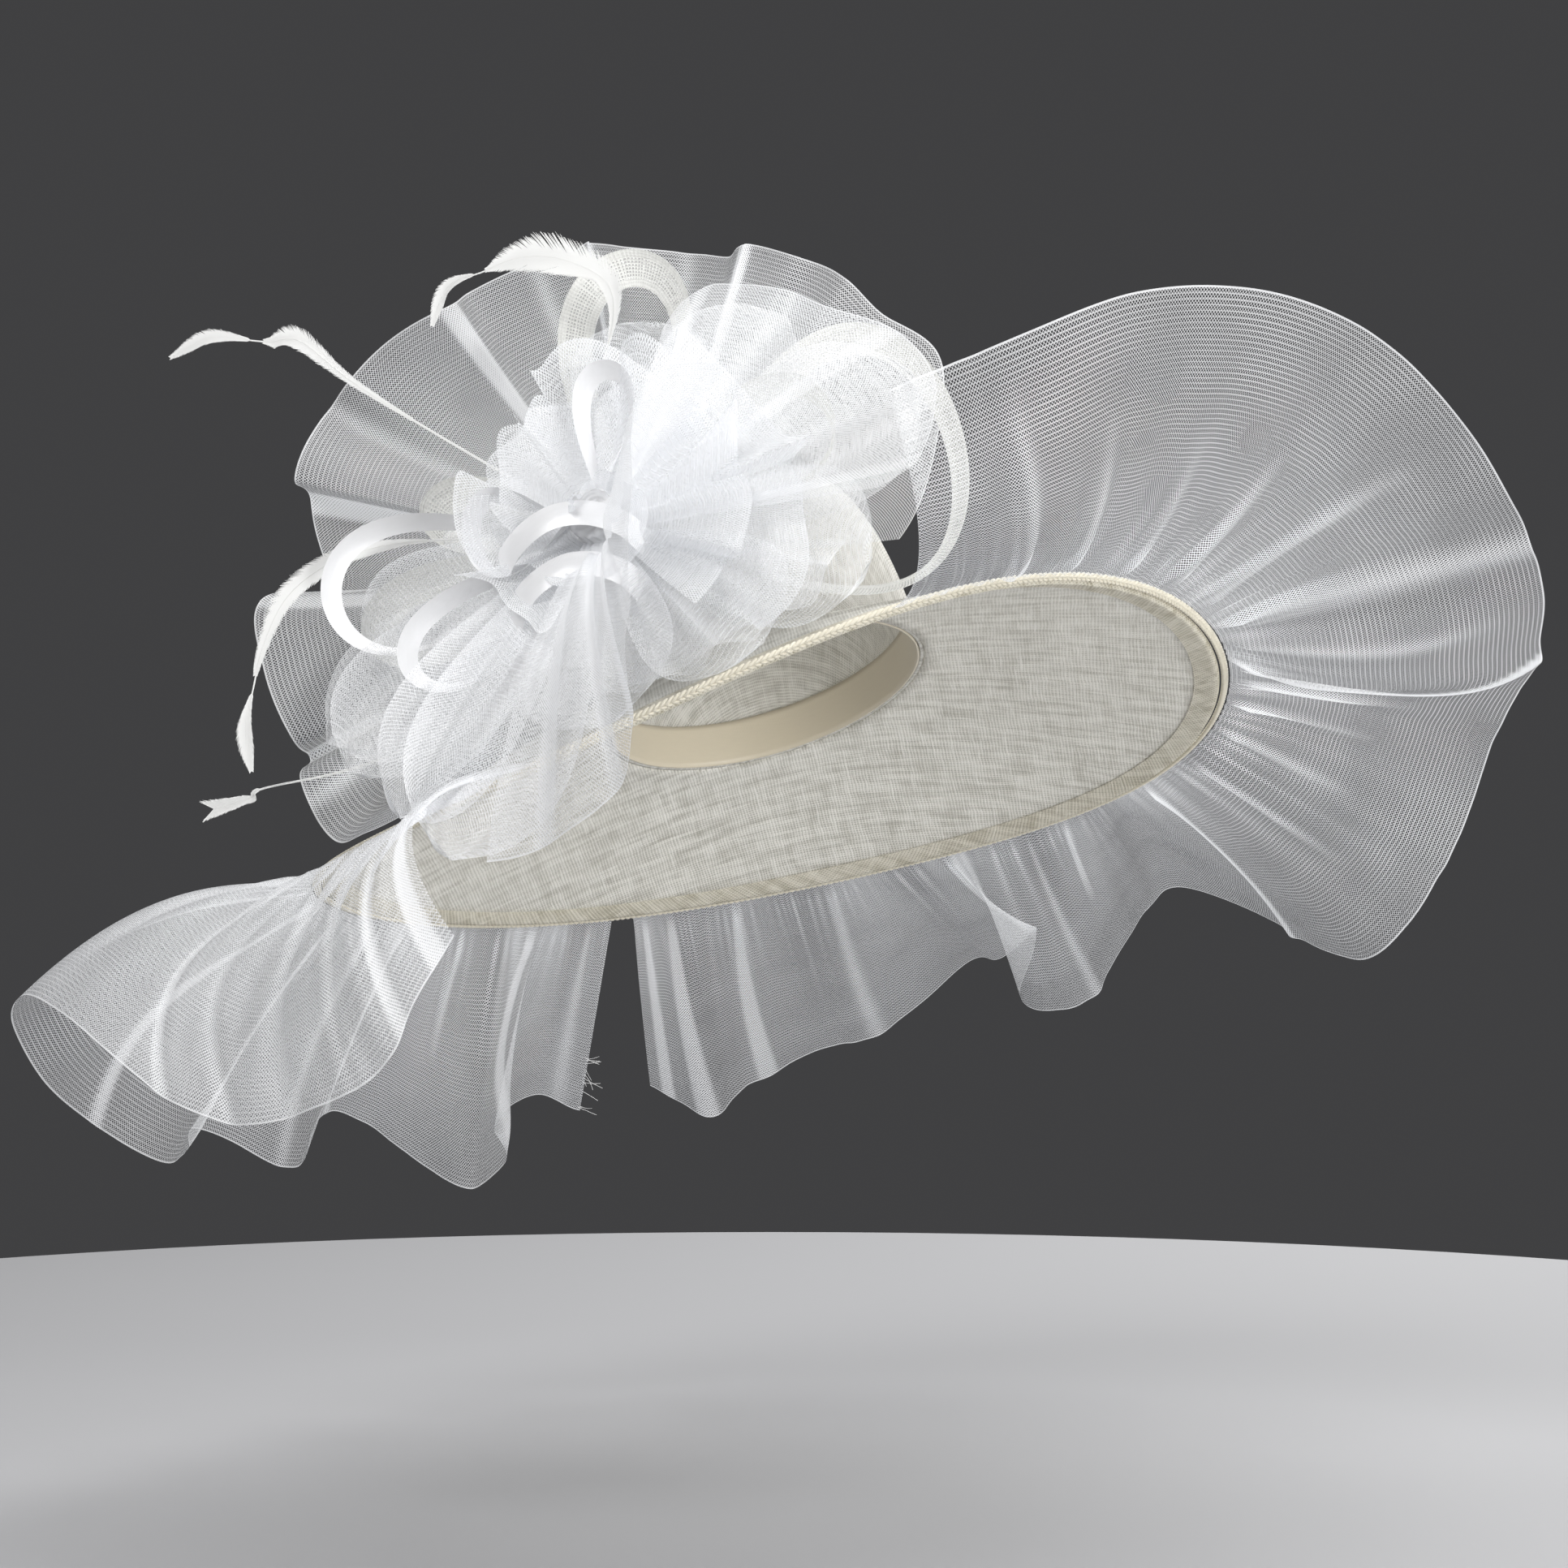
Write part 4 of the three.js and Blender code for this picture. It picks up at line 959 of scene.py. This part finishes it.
def flounce(name, folds, pressed, share, columns, narrow):
    """Share is the seam's place along the stalk, narrow the fan's width against the widest."""
    level = share * CORE_LENGTH

    def root_of(fold):
        return flower_point(fold["root"], SEWN, level)

    def tip_of(fold):
        return flower_point(fold["tip"], fold["reach"] * FLOUNCE_WIDTH,
                            level + fold["lift"] * FLOUNCE_WIDTH)

    grid, flat, squeeze, length = band(folds, pressed, FLOUNCE_WIDTH, root_of, tip_of, columns,
                                       FLOUNCE_PLEAT)
    piece = new_piece("net_" + name, placed(FLOWER, grid), FLOUNCE_NET, name, flat, squeeze)
    width, length = metres(narrow * FLOUNCE_WIDTH), metres(length, 2)
    FLARED * length * width


flounce("flounce_back", FLOUNCE_BACK, FOLDS_BACK, 0.08, 900, 1.0)
flounce("flounce_middle", FLOUNCE_MIDDLE, FOLDS_MIDDLE, 0.74, 360, 0.85)
flounce("flounce_lower", FLOUNCE_LOWER, FOLDS_LOWER, 0.60, 360, 0.55)
flounce("flounce_front", FLOUNCE_FRONT, FOLDS_FRONT, 0.92, 420, 0.85)

# %% [markdown]
# ## Loops of sinamay and of satin
# Between the flounces stand loops: wide ones of open sinamay with a turned hem, and narrow ones
# of satin. A loop could be a bent plane with a Simple Deform modifier, but each leaves the stalk,
# swings round and comes back to it at its own slant. One function draws them all. It runs out and
# back along a heading, bulges to both sides, tilts the ribbon on the way and cups it a little.

# %% A ribbon's loop
STRAW_WIDTH, STRAW_THICKNESS, SATIN_WIDTH, SATIN_THICKNESS = 20, 1.2, 12, 1
LOOP_ROWS = 9


def loop_grid(heading, level, length, breadth, rise, turn, width, thickness, steps, cup):
    """A ribbon from the stalk, out and back to it, as rows across its width."""
    ahead = np.array([math.cos(math.radians(heading)), math.sin(math.radians(heading)), 0])
    beside = np.array([-ahead[1], ahead[0], 0])
    share = np.linspace(0, 1, steps)
    out = (1 - np.cos(2 * math.pi * share)) / 2
    apart = (1 - out) * (thickness / 2 + GAP) * np.where(share < 0.5, 1, -1)
    over = FLOUNCE_WIDTH * breadth / 2 * np.sin(2 * math.pi * share) * out**0.75 * 1.2 + apart
    centre = (
        (CORE_RADIUS + SEWN + out * length * FLOUNCE_WIDTH)[:, None] * ahead
        + over[:, None] * beside
        + points(0, 0, level * CORE_LENGTH + rise * FLOUNCE_WIDTH * out)
    )
    way = np.gradient(centre, axis=0)
    outward = unit(points(way[:, 1], -way[:, 0], 0))
    tilt = np.radians(turn) * out**0.5
    wide = points(0, 0, np.cos(tilt)) - outward * np.sin(tilt)[:, None]
    face = unit(np.cross(unit(way), wide))
    side = np.linspace(-0.5, 0.5, LOOP_ROWS)[:, None, None]
    sag = cup * (4 * side**2 - 1) * out[None, :, None]
    grid = centre + wide * side * width + face * sag
    return grid, flat_grid(np.linspace(0, width, LOOP_ROWS), along(centre))


def ribbon_piece(name, grid, flat, material, node=None):
    piece = new_piece(name, placed(FLOWER, grid), material, node, flat)
    metres(flat[0, -1, 0])


trial_loop = loop_grid(0, 0, 0.5, 0.3, 0, 0, SATIN_WIDTH, SATIN_THICKNESS, 100, 0)[1]
print("a loop half as long as the net is wide takes", trial_loop[0, -1, 0].round(), "mm of ribbon")

# %% Loops
# heading level length breadth rise turn: shares of the stalk's length and the net's width
STRAW_LOOPS = {
    "straw_loop_right": (2, 0.32, 0.84, 0.84, 0.00, 40),
    "straw_loop_top": (77, 0.32, 0.74, 0.36, 0.00, 55),
    "straw_loop_upper_left": (149, 0.32, 0.50, 0.18, 0.02, 45),
    "straw_loop_left": (184, 0.32, 0.62, 0.26, 0.14, 45),
    "straw_loop_inner": (12, 0.56, 0.58, 0.34, 0.04, 20),
}
SATIN_LOOPS = {
    "satin_loop_left": (180, 0.61, 0.66, 0.42, 0.19, 62),
    "satin_loop_lower": (208, 0.76, 0.54, 0.28, 0.16, 62),
    "satin_loop_inner": (176, 0.90, 0.24, 0.26, 0.08, 55),
    "satin_loop_top": (66, 0.88, 0.30, 0.16, 0.10, 60),
}
STRAW_LOOP = straw_material("straw_loops", (0.92, 0.92, 0.89), (0.72, 0.72, 0.69), 0.46,
                            STRAW_WIDTH)
SATIN_EASED = 0.62  # drawn satin lies flatter than the solid's thick band
STRAW_STEPS, STRAW_CUP, SATIN_STEPS, SATIN_CUP = 120, 1.6, 100, 0.9
for name, row in STRAW_LOOPS.items():
    grid, flat = loop_grid(*row, STRAW_WIDTH, STRAW_THICKNESS, STRAW_STEPS, STRAW_CUP)
    ribbon_piece("bias_" + name, grid, flat, STRAW_LOOP, name)
for name, (*row, turn) in SATIN_LOOPS.items():
    grid, flat = loop_grid(*row, turn * SATIN_EASED, SATIN_WIDTH, SATIN_THICKNESS, SATIN_STEPS,
                           SATIN_CUP)
    ribbon_piece("folded_" + name, grid, flat, SATIN, name)

# %% [markdown]
# ## Leaves of net
# The flower is filled with lobes of the same net, each caught at its narrow end. They could be
# copies of one lobe, but in the photograph no two are alike. So a table gives each its heading,
# its place along the stalk, its reach, breadth, lift and cup. One function gives it a pointed
# foot, a ragged round tip and pleats that die out towards the rim. The solid model leaves them
# out, because they add nothing to its outline.

# %% Leaves
# heading level reach breadth lift cup: level is a share of the stalk's length, and the four
# numbers after it are shares of the net's width
LEAVES = [
    (152, 0.36, 0.46, 0.44, 0.04, 0.05), (116, 0.42, 0.40, 0.40, 0.04, 0.06),
    (66, 0.50, 0.54, 0.56, 0.05, 0.05), (8, 0.44, 0.82, 0.66, 0.03, 0.06),
    (38, 0.60, 0.66, 0.56, 0.08, 0.07), (-26, 0.62, 0.66, 0.64, 0.08, 0.06),
    (188, 0.56, 0.66, 0.58, 0.10, 0.05), (214, 0.66, 0.84, 0.62, 0.22, 0.05),
    (237, 0.85, 0.91, 0.66, 0.22, 0.05), (-58, 0.78, 0.54, 0.62, 0.14, 0.06),
    (268, 0.84, 0.56, 0.58, 0.26, 0.05), (197, 0.28, 0.88, 0.56, 0.17, 0.04),
    (224, 0.80, 0.86, 0.50, 0.24, 0.05),
]
DENSE_HEADINGS = range(220, 240)  # where the leaves are of the closer net
LEAF_ROWS, LEAF_COLUMNS = 40, 61
LEAF_FOOT = 0.10  # how broad a leaf is at the stalk, as a share of its breadth
LEAF_SWAY, LEAF_PLEAT, LEAF_WAVE = 9, 3.2, 5
LEAF_MIDDLE = 50  # where every leaf's middle lies on its flat net


def leaf_grid(number, heading, level, reach, breadth, lift, cup):
    """One leaf, and how it is squeezed: rows from its foot to its tip, columns across it."""
    share = np.linspace(0, 1, LEAF_ROWS)[:, None]
    side = np.linspace(-1, 1, LEAF_COLUMNS)[None, :]
    closing = np.sqrt(np.maximum(0, 1 - share**5))
    shape = (LEAF_FOOT + (1 - LEAF_FOOT) * share**0.85) * closing
    ragged = 1 + closing * (0.06 * np.sin(side * 4 + number * 1.7) - 0.08 * side**2)
    pleats = uneven(side * 13 + number, 1.5, side * 5 + number)
    wave = np.sin(side * 5 + number)
    out = CORE_RADIUS + share * ragged * reach * FLOUNCE_WIDTH
    across = side * shape * breadth * FLOUNCE_WIDTH / 2
    across = across + LEAF_SWAY * np.sin(number * 2.1) * share**2
    risen = FLOUNCE_WIDTH * (lift * share + cup * side**2 * shape - 0.5 * cup * share**3)
    folded = closing * share * (pleats * LEAF_PLEAT * (1.1 - share) + LEAF_WAVE * share * wave)
    angle = math.radians(heading)
    grid = points(out * math.cos(angle) - across * math.sin(angle),
                  out * math.sin(angle) + across * math.cos(angle),
                  level * CORE_LENGTH + risen + folded)
    rim = np.maximum(np.abs(side) ** 30, share**30)
    return grid, 1 + 0.35 * pleats**2 * (1 - 0.6 * share) + rim + 0.5 * (1 - share) ** 3


def leaf(number, heading, level, reach, breadth, lift, cup):
    grid, dense = leaf_grid(number, heading, level, reach, breadth, lift, cup)
    half = breadth * FLOUNCE_WIDTH / 2
    flat = flat_grid(np.linspace(0, reach * FLOUNCE_WIDTH, LEAF_ROWS),
                     np.linspace(-half, half, LEAF_COLUMNS) + LEAF_MIDDLE)
    net = RUCHE_NET if heading in DENSE_HEADINGS else LEAF_NET
    piece = new_piece(f"net_leaf_{number}", placed(FLOWER, grid), net, None, flat, dense)


for number, row in enumerate(LEAVES, 1):
    leaf(number, *row)

# %% [markdown]
# ## Ruched bands
# Two more bands of net are gathered along one edge and wound round the stalk, so that they close
# the flower's middle and hide the stalk's end. A spiral could be made with `bmesh.ops.spin`, but
# the band's reach changes all the way round. So its heading runs on past a full turn while its
# reach shrinks, and waves of odd counts frill its free edge.

# %% Ruches
# first and last heading, reach to the right and to the left at the start, reach at the end, and
# level and lift at the start and at the end
RUCHES = [
    (160, 600, 0.60, 0.20, 0.26, 0.62, 0.84, 0.08, 0.17),
    (-60, 560, 0.38, 0.20, -0.055, 0.84, 0.98, 0.11, 0.10),
]
RUCHE_ROWS, RUCHE_COLUMNS = 26, 1000
RUCHE_MEAN = 0.75  # the wound band's mean width against its width at the start
FRILL_COUNT, FINER_COUNT = 7.3, 17  # waves in a full turn


def ruche_grid(first, last, right, left, end, low, high, start_lift, end_lift):
    """One wound band, and how it is squeezed: its heading runs on while its reach shrinks."""
    at = np.linspace(first, last, RUCHE_COLUMNS)
    turn = (at - first) / (last - first)
    share = np.linspace(0, 1, RUCHE_ROWS)[:, None]
    fading = np.minimum(1, turn**2 * 1.5)
    reach = (right + left) / 2 + (right - left) / 2 * np.cos(np.radians(at))
    reach = reach * (1 - fading) + end * fading
    wave = np.radians(at * FRILL_COUNT) + 2.2 * np.sin(np.radians(at * 1.9))
    frill = np.sin(wave)
    finer = uneven(np.radians(at * FINER_COUNT), 1.5, np.radians(at * 3.1))
    tip = np.degrees(0.16 * np.cos(np.radians(at * FRILL_COUNT)) * share) + at
    out = SEWN + share * (reach * (1 + 0.10 * frill + 0.04 * finer)) * FLOUNCE_WIDTH
    lift = (start_lift + (end_lift - start_lift) * turn) * share**1.4
    lift = lift + (0.085 * frill + 0.028 * finer) * reach / right * share**1.1
    level = (low + (high - low) * turn) * CORE_LENGTH + FLOUNCE_WIDTH * lift
    dense = 1.1 + 0.7 * np.abs(np.cos(wave)) * share + 0.9 * (1 - share) ** 2 + 0.8 * share**40
    return flower_point(tip, out, level), dense


def ruche(number, row):
    grid, dense = ruche_grid(*row)
    right, left = row[2:4]
    wide = (right + left) / 2 * FLOUNCE_WIDTH * RUCHE_MEAN
    spread = along(grid[-1])
    flat = flat_grid(np.linspace(0, wide, RUCHE_ROWS), spread)
    piece = new_piece(f"net_ruche_{number}", placed(FLOWER, grid), RUCHE_NET, None, flat,
                      dense)
    long = metres(spread[-1], 2)
    FLARED * wide / 1000 * long


for number, row in enumerate(RUCHES, 1):
    ruche(number, row)

# %% [markdown]
# ## Satin arcs
# Two bands of satin stand in an arc over the flower's middle, like a bow that was not pulled
# tight. They follow no plain curve, so `loop_grid` can't draw them. Seven given points give each
# one's middle line, and the ribbon faces away from the arc's inside and is cupped across, as a
# pressed satin fold is.

# %% Arches
# x and y from the stalk's axis, and level
ARCHES = [
    [(-40, -40, 74), (-54, -20, 90), (-42, -8, 104), (-20, -1, 110), (0, -3, 107), (14, -10, 96),
     (20, -18, 80)],
    [(-40, -64, 80), (-52, -46, 94), (-39, -33, 106), (-18, -27, 109), (-2, -29, 104),
     (8, -34, 94), (12, -40, 80)],
]
ARCH_WIDTH, ARCH_STEPS, ARCH_CUP, ARCH_LEAN = 14, 90, 0.8, 0.10
ARCH_RISE = 90  # how far below an arc the point lies that its face turns away from


def arch(number, rows):
    line = table("place x y level", [(i, *row) for i, row in enumerate(rows)])
    fine = smooth(line, "place", np.linspace(0, len(rows) - 1, ARCH_STEPS))
    centre = points(fine["x"], fine["y"], fine["level"])
    ahead = unit(np.gradient(centre, axis=0))
    above = unit(centre - centre.mean(axis=0) + points(0, 0, ARCH_RISE))
    wide = unit(np.cross(ahead, above) + ARCH_LEAN * above)
    side = np.linspace(-0.5, 0.5, LOOP_ROWS)[:, None, None]
    grid = centre + wide * side * ARCH_WIDTH - above * ARCH_CUP * (4 * side**2 - 1)
    flat = flat_grid(np.linspace(0, ARCH_WIDTH, LOOP_ROWS), along(centre))
    ribbon_piece(f"folded_satin_arch_{number}", grid, flat, SATIN)


for number, rows in enumerate(ARCHES, 1):
    arch(number, rows)

# %% [markdown]
# ## Stripped feathers
# Four feathers stand out of the flower. Their vanes were stripped off but for short stretches, so
# bare quills end in small flags. Hair particles could make the barbs, and would have to be turned
# into a mesh for the export. Here each barb is a ribbon of four faces that leaves the quill at a
# slant, and its length comes from the table's last column, the width of vane left there.

# %% Feather material and table
def feather_material(name):
    cloth = Cloth(name, Roughness=0.7, Specular_IOR_Level=0.25, Sheen_Weight=0.4)
    streaks = cloth.noise(cloth.u / 3, cloth.v / 0.8, 3)
    cloth.into(Base_Color=streaks.colour((0.86, 0.86, 0.84), (0.98, 0.98, 0.97)))
    return cloth.bump(streaks, 0.3, 0.0002).glowing_through(0.3).done()


FEATHER = feather_material("feather_white")
# level on the stalk, then rows of heading reach lift vane
FEATHERS = {
    "feather_upper_left": (0.18, [
        (128, 0.00, 0.00, 1.6), (130, 0.30, 0.05, 1.6), (131, 0.60, 0.09, 1.6),
        (131, 0.88, 0.13, 5), (130, 1.08, 0.15, 12), (132, 1.16, 0.15, 4), (133, 1.21, 0.15, 1.6),
        (135, 1.34, 0.14, 9), (139, 1.44, 0.12, 1.6),
    ]),
    "feather_top": (0.50, [
        (100, 0.00, 0.00, 1.6), (92, 0.20, 0.03, 1.6), (77, 0.44, 0.09, 1.6),
        (75, 0.59, 0.12, 14), (84, 0.69, 0.13, 22), (93, 0.75, 0.12, 13), (101, 0.77, 0.11, 1.6),
        (108, 0.80, 0.09, 8), (115, 0.74, 0.08, 1.6),
    ]),
    "feather_left": (0.46, [
        (160, 0.00, 0.00, 1.6), (163, 0.40, 0.11, 1.6), (166, 0.57, 0.17, 9),
        (170, 0.68, 0.22, 12), (176, 0.78, 0.27, 11), (185, 0.87, 0.31, 5),
        (190, 0.92, 0.32, 1.6), (195, 0.98, 0.33, 9), (201, 1.03, 0.32, 1.6),
    ]),
    "feather_lower_left": (0.20, [
        (218, 0.00, 0.00, 1.6), (212, 0.60, 0.22, 1.6), (201, 1.02, 0.31, 1.6),
        (200, 1.10, 0.31, 5), (198, 1.20, 0.30, 11),
    ]),
}

# %% Feathers
FEATHER_STEPS, QUILL_EVERY = 520, 4
QUILL_FOOT, QUILL_TIP = 0.75, 0.30  # the quill's half width at both ends
BARB_LEAST = 1.1  # a vane with a narrower half has no barbs
BARB_HALVES = np.array([0.3, 0.34, 0.3, 0.2, 0.05])  # from the barb's foot to its tip


def ribbon(build, matrix, spine, half, way):
    """A flat ribbon along a spine: u counts its points and v goes from 0 to 1 across it."""
    offset = way * half[:, None]
    lay(build, placed(matrix, np.array([spine + offset, spine - offset])),
        flat_grid([0, 1], np.arange(len(spine))))


def barb(build, foot, ahead, aside, above, half):
    """One barb, a little longer or shorter than the vane's half, that leans ahead."""
    share = np.linspace(0, 1, len(BARB_HALVES))[:, None]
    length = half * (1.35 + 0.2 * random.random())
    spread = 0.62 + 0.1 * random.random()
    spine = (
        foot + ahead * length * (share * 0.78 + share**2 * 0.12)
        + aside * length * spread * share
        + above * (0.25 + 0.1 * length * share**2)
    )
    way = unit(np.cross(spine[1] - spine[0], above))[None]
    ribbon(build, FLOWER, spine, BARB_HALVES, way)


def feather(name, level, rows):
    line = table("place heading reach lift vane", [(i, *row) for i, row in enumerate(rows)])
    fine = smooth(line, "place", np.linspace(0, len(rows) - 1, FEATHER_STEPS))
    centre = flower_point(fine["heading"], SEWN + fine["reach"] * FLOUNCE_WIDTH,
                          level * CORE_LENGTH + fine["lift"] * FLOUNCE_WIDTH)
    ahead = unit(np.gradient(centre, axis=0))
    aside = unit(np.cross(ahead, [0, 0, 1]))
    above = np.cross(aside, ahead)
    build = blank()
    quill = np.linspace(QUILL_FOOT, QUILL_TIP, len(centre))
    few = slice(None, None, QUILL_EVERY)
    for way in (aside, above):
        ribbon(build, FLOWER, centre[few], quill[few], way[few])
    for k in range(QUILL_EVERY, len(centre) - 1):
        half = fine["vane"][k] / 2
        if half >= BARB_LEAST:
            for side in (-1, 1):
                barb(build, centre[k], ahead[k], aside[k] * side, above[k], half)
    finished("stripped_" + name, build, FEATHER, name)


for name, (level, rows) in FEATHERS.items():
    feather(name, level, rows)

# %% [markdown]
# ## The raw end
# The left band was cut and not hemmed, so loose threads stick out of its end. They could be a
# fringe of even length, which cut net doesn't have. Each thread starts at a random place on the
# cut edge, mostly near the tip, and goes its own way.

# %% Frayed threads
FRAYED, THREAD_HALF = 13, 0.12
FRAYED_SHARE = 0.3  # how much of the cut edge, from its tip, is frayed
THREAD_ROOT, THREAD_SHORTEST, THREAD_LONGER, THREAD_BEND = 1.5, 4, 9, 6


def raw_end():
    build = blank()
    edge = left_ruffle[:, 0]
    down, outwards = unit(edge[1] - edge[-1]), unit(left_ruffle[-1, 0] - left_ruffle[-1, 6])
    share = np.linspace(0, 1, 5)[:, None]
    for _ in range(FRAYED):
        place = (1 - FRAYED_SHARE * random.random() ** 2) * (len(edge) - 1)
        start = np.array([np.interp(place, np.arange(len(edge)), edge[:, c]) for c in range(3)])
        way = down * (random.random() - 0.75) + outwards * (0.4 + random.random())
        way = unit(way + 0.35 * (random.random(3) - 0.5))
        bend = (random.random(3) - 0.5) * THREAD_BEND * share**2
        length = THREAD_SHORTEST + THREAD_LONGER * random.random()
        spine = start - way * THREAD_ROOT + way * share * length + bend
        beside = unit(np.cross(way, [0.3, 1.0, 0.2]))[None]
        ribbon(build, HAT, spine, np.full(len(share), THREAD_HALF), beside)
    finished("frayed_threads", build, FEATHER)


raw_end()

# %% [markdown]
# ## Floor and light
# The photograph was taken in soft studio light before a dark ground. A sky or a ring of lamps
# would light the net from all sides and flatten it. A soft disk on the left is brightest and
# models the folds, a weaker one on the right fills the shadows, one from above lights the crown,
# and one from behind makes the sheer net glow. A small low one lights the brim's underside. The
# floor is a plain pale disk below the hat.

# %% Floor
FLOOR_LEVEL, FLOOR_RADIUS = -0.42, 1.15


def floor():
    build = bmesh.new()
    bmesh.ops.create_circle(build, cap_ends=True, segments=128, radius=FLOOR_RADIUS)
    bmesh.ops.translate(build, verts=build.verts, vec=(0, 0, FLOOR_LEVEL))
    mesh = bpy.data.meshes.new("floor")
    build.to_mesh(mesh)
    build.free()
    mesh.materials.append(Cloth("floor_pale", Roughness=0.75,
                                Base_Color=(0.40, 0.40, 0.41, 1)).done())
    piece = bpy.data.objects.new("floor", mesh)
    bpy.context.collection.objects.link(piece)


floor()

# %% Lamps
def lamp(name, place, size, power, target=(0, 0, 0)):
    """A soft disk of light that faces its target."""
    light = bpy.data.lights.new(name, "AREA")
    light.shape = "DISK"
    light.size = size
    light.energy = power
    piece = bpy.data.objects.new(name, light)
    piece.location = place
    way = Vector(target) - Vector(place)
    piece.rotation_euler = way.to_track_quat("-Z", "Y").to_euler()
    bpy.context.collection.objects.link(piece)
    print(name, "lamp:", power, "W,", round(way.length, 2), "m away")


lamp("key", (-1.3, -2.2, 1.8), 1.4, 62)
lamp("fill", (1.9, -1.7, 0.6), 1.8, 44)
lamp("top", (0.2, 0.6, 2.2), 1.6, 40)
lamp("low", (1.1, -1.6, -0.36), 1.0, 14, (0.12, 0, 0))
lamp("back", (0.9, 2.0, 0.8), 1.2, 24)

# %% Dark ground and colours
world = bpy.data.worlds.new("studio")
world.use_nodes = True
world.node_tree.nodes["Background"].inputs[0].default_value = (0.052, 0.052, 0.054, 1)
scene = bpy.context.scene
scene.world = world
scene.view_settings.view_transform = "Standard"
scene.cycles.transparent_max_bounces = 24  # so that the hat shows through many layers of net
print("rays pass", scene.cycles.transparent_max_bounces, "layers of net")
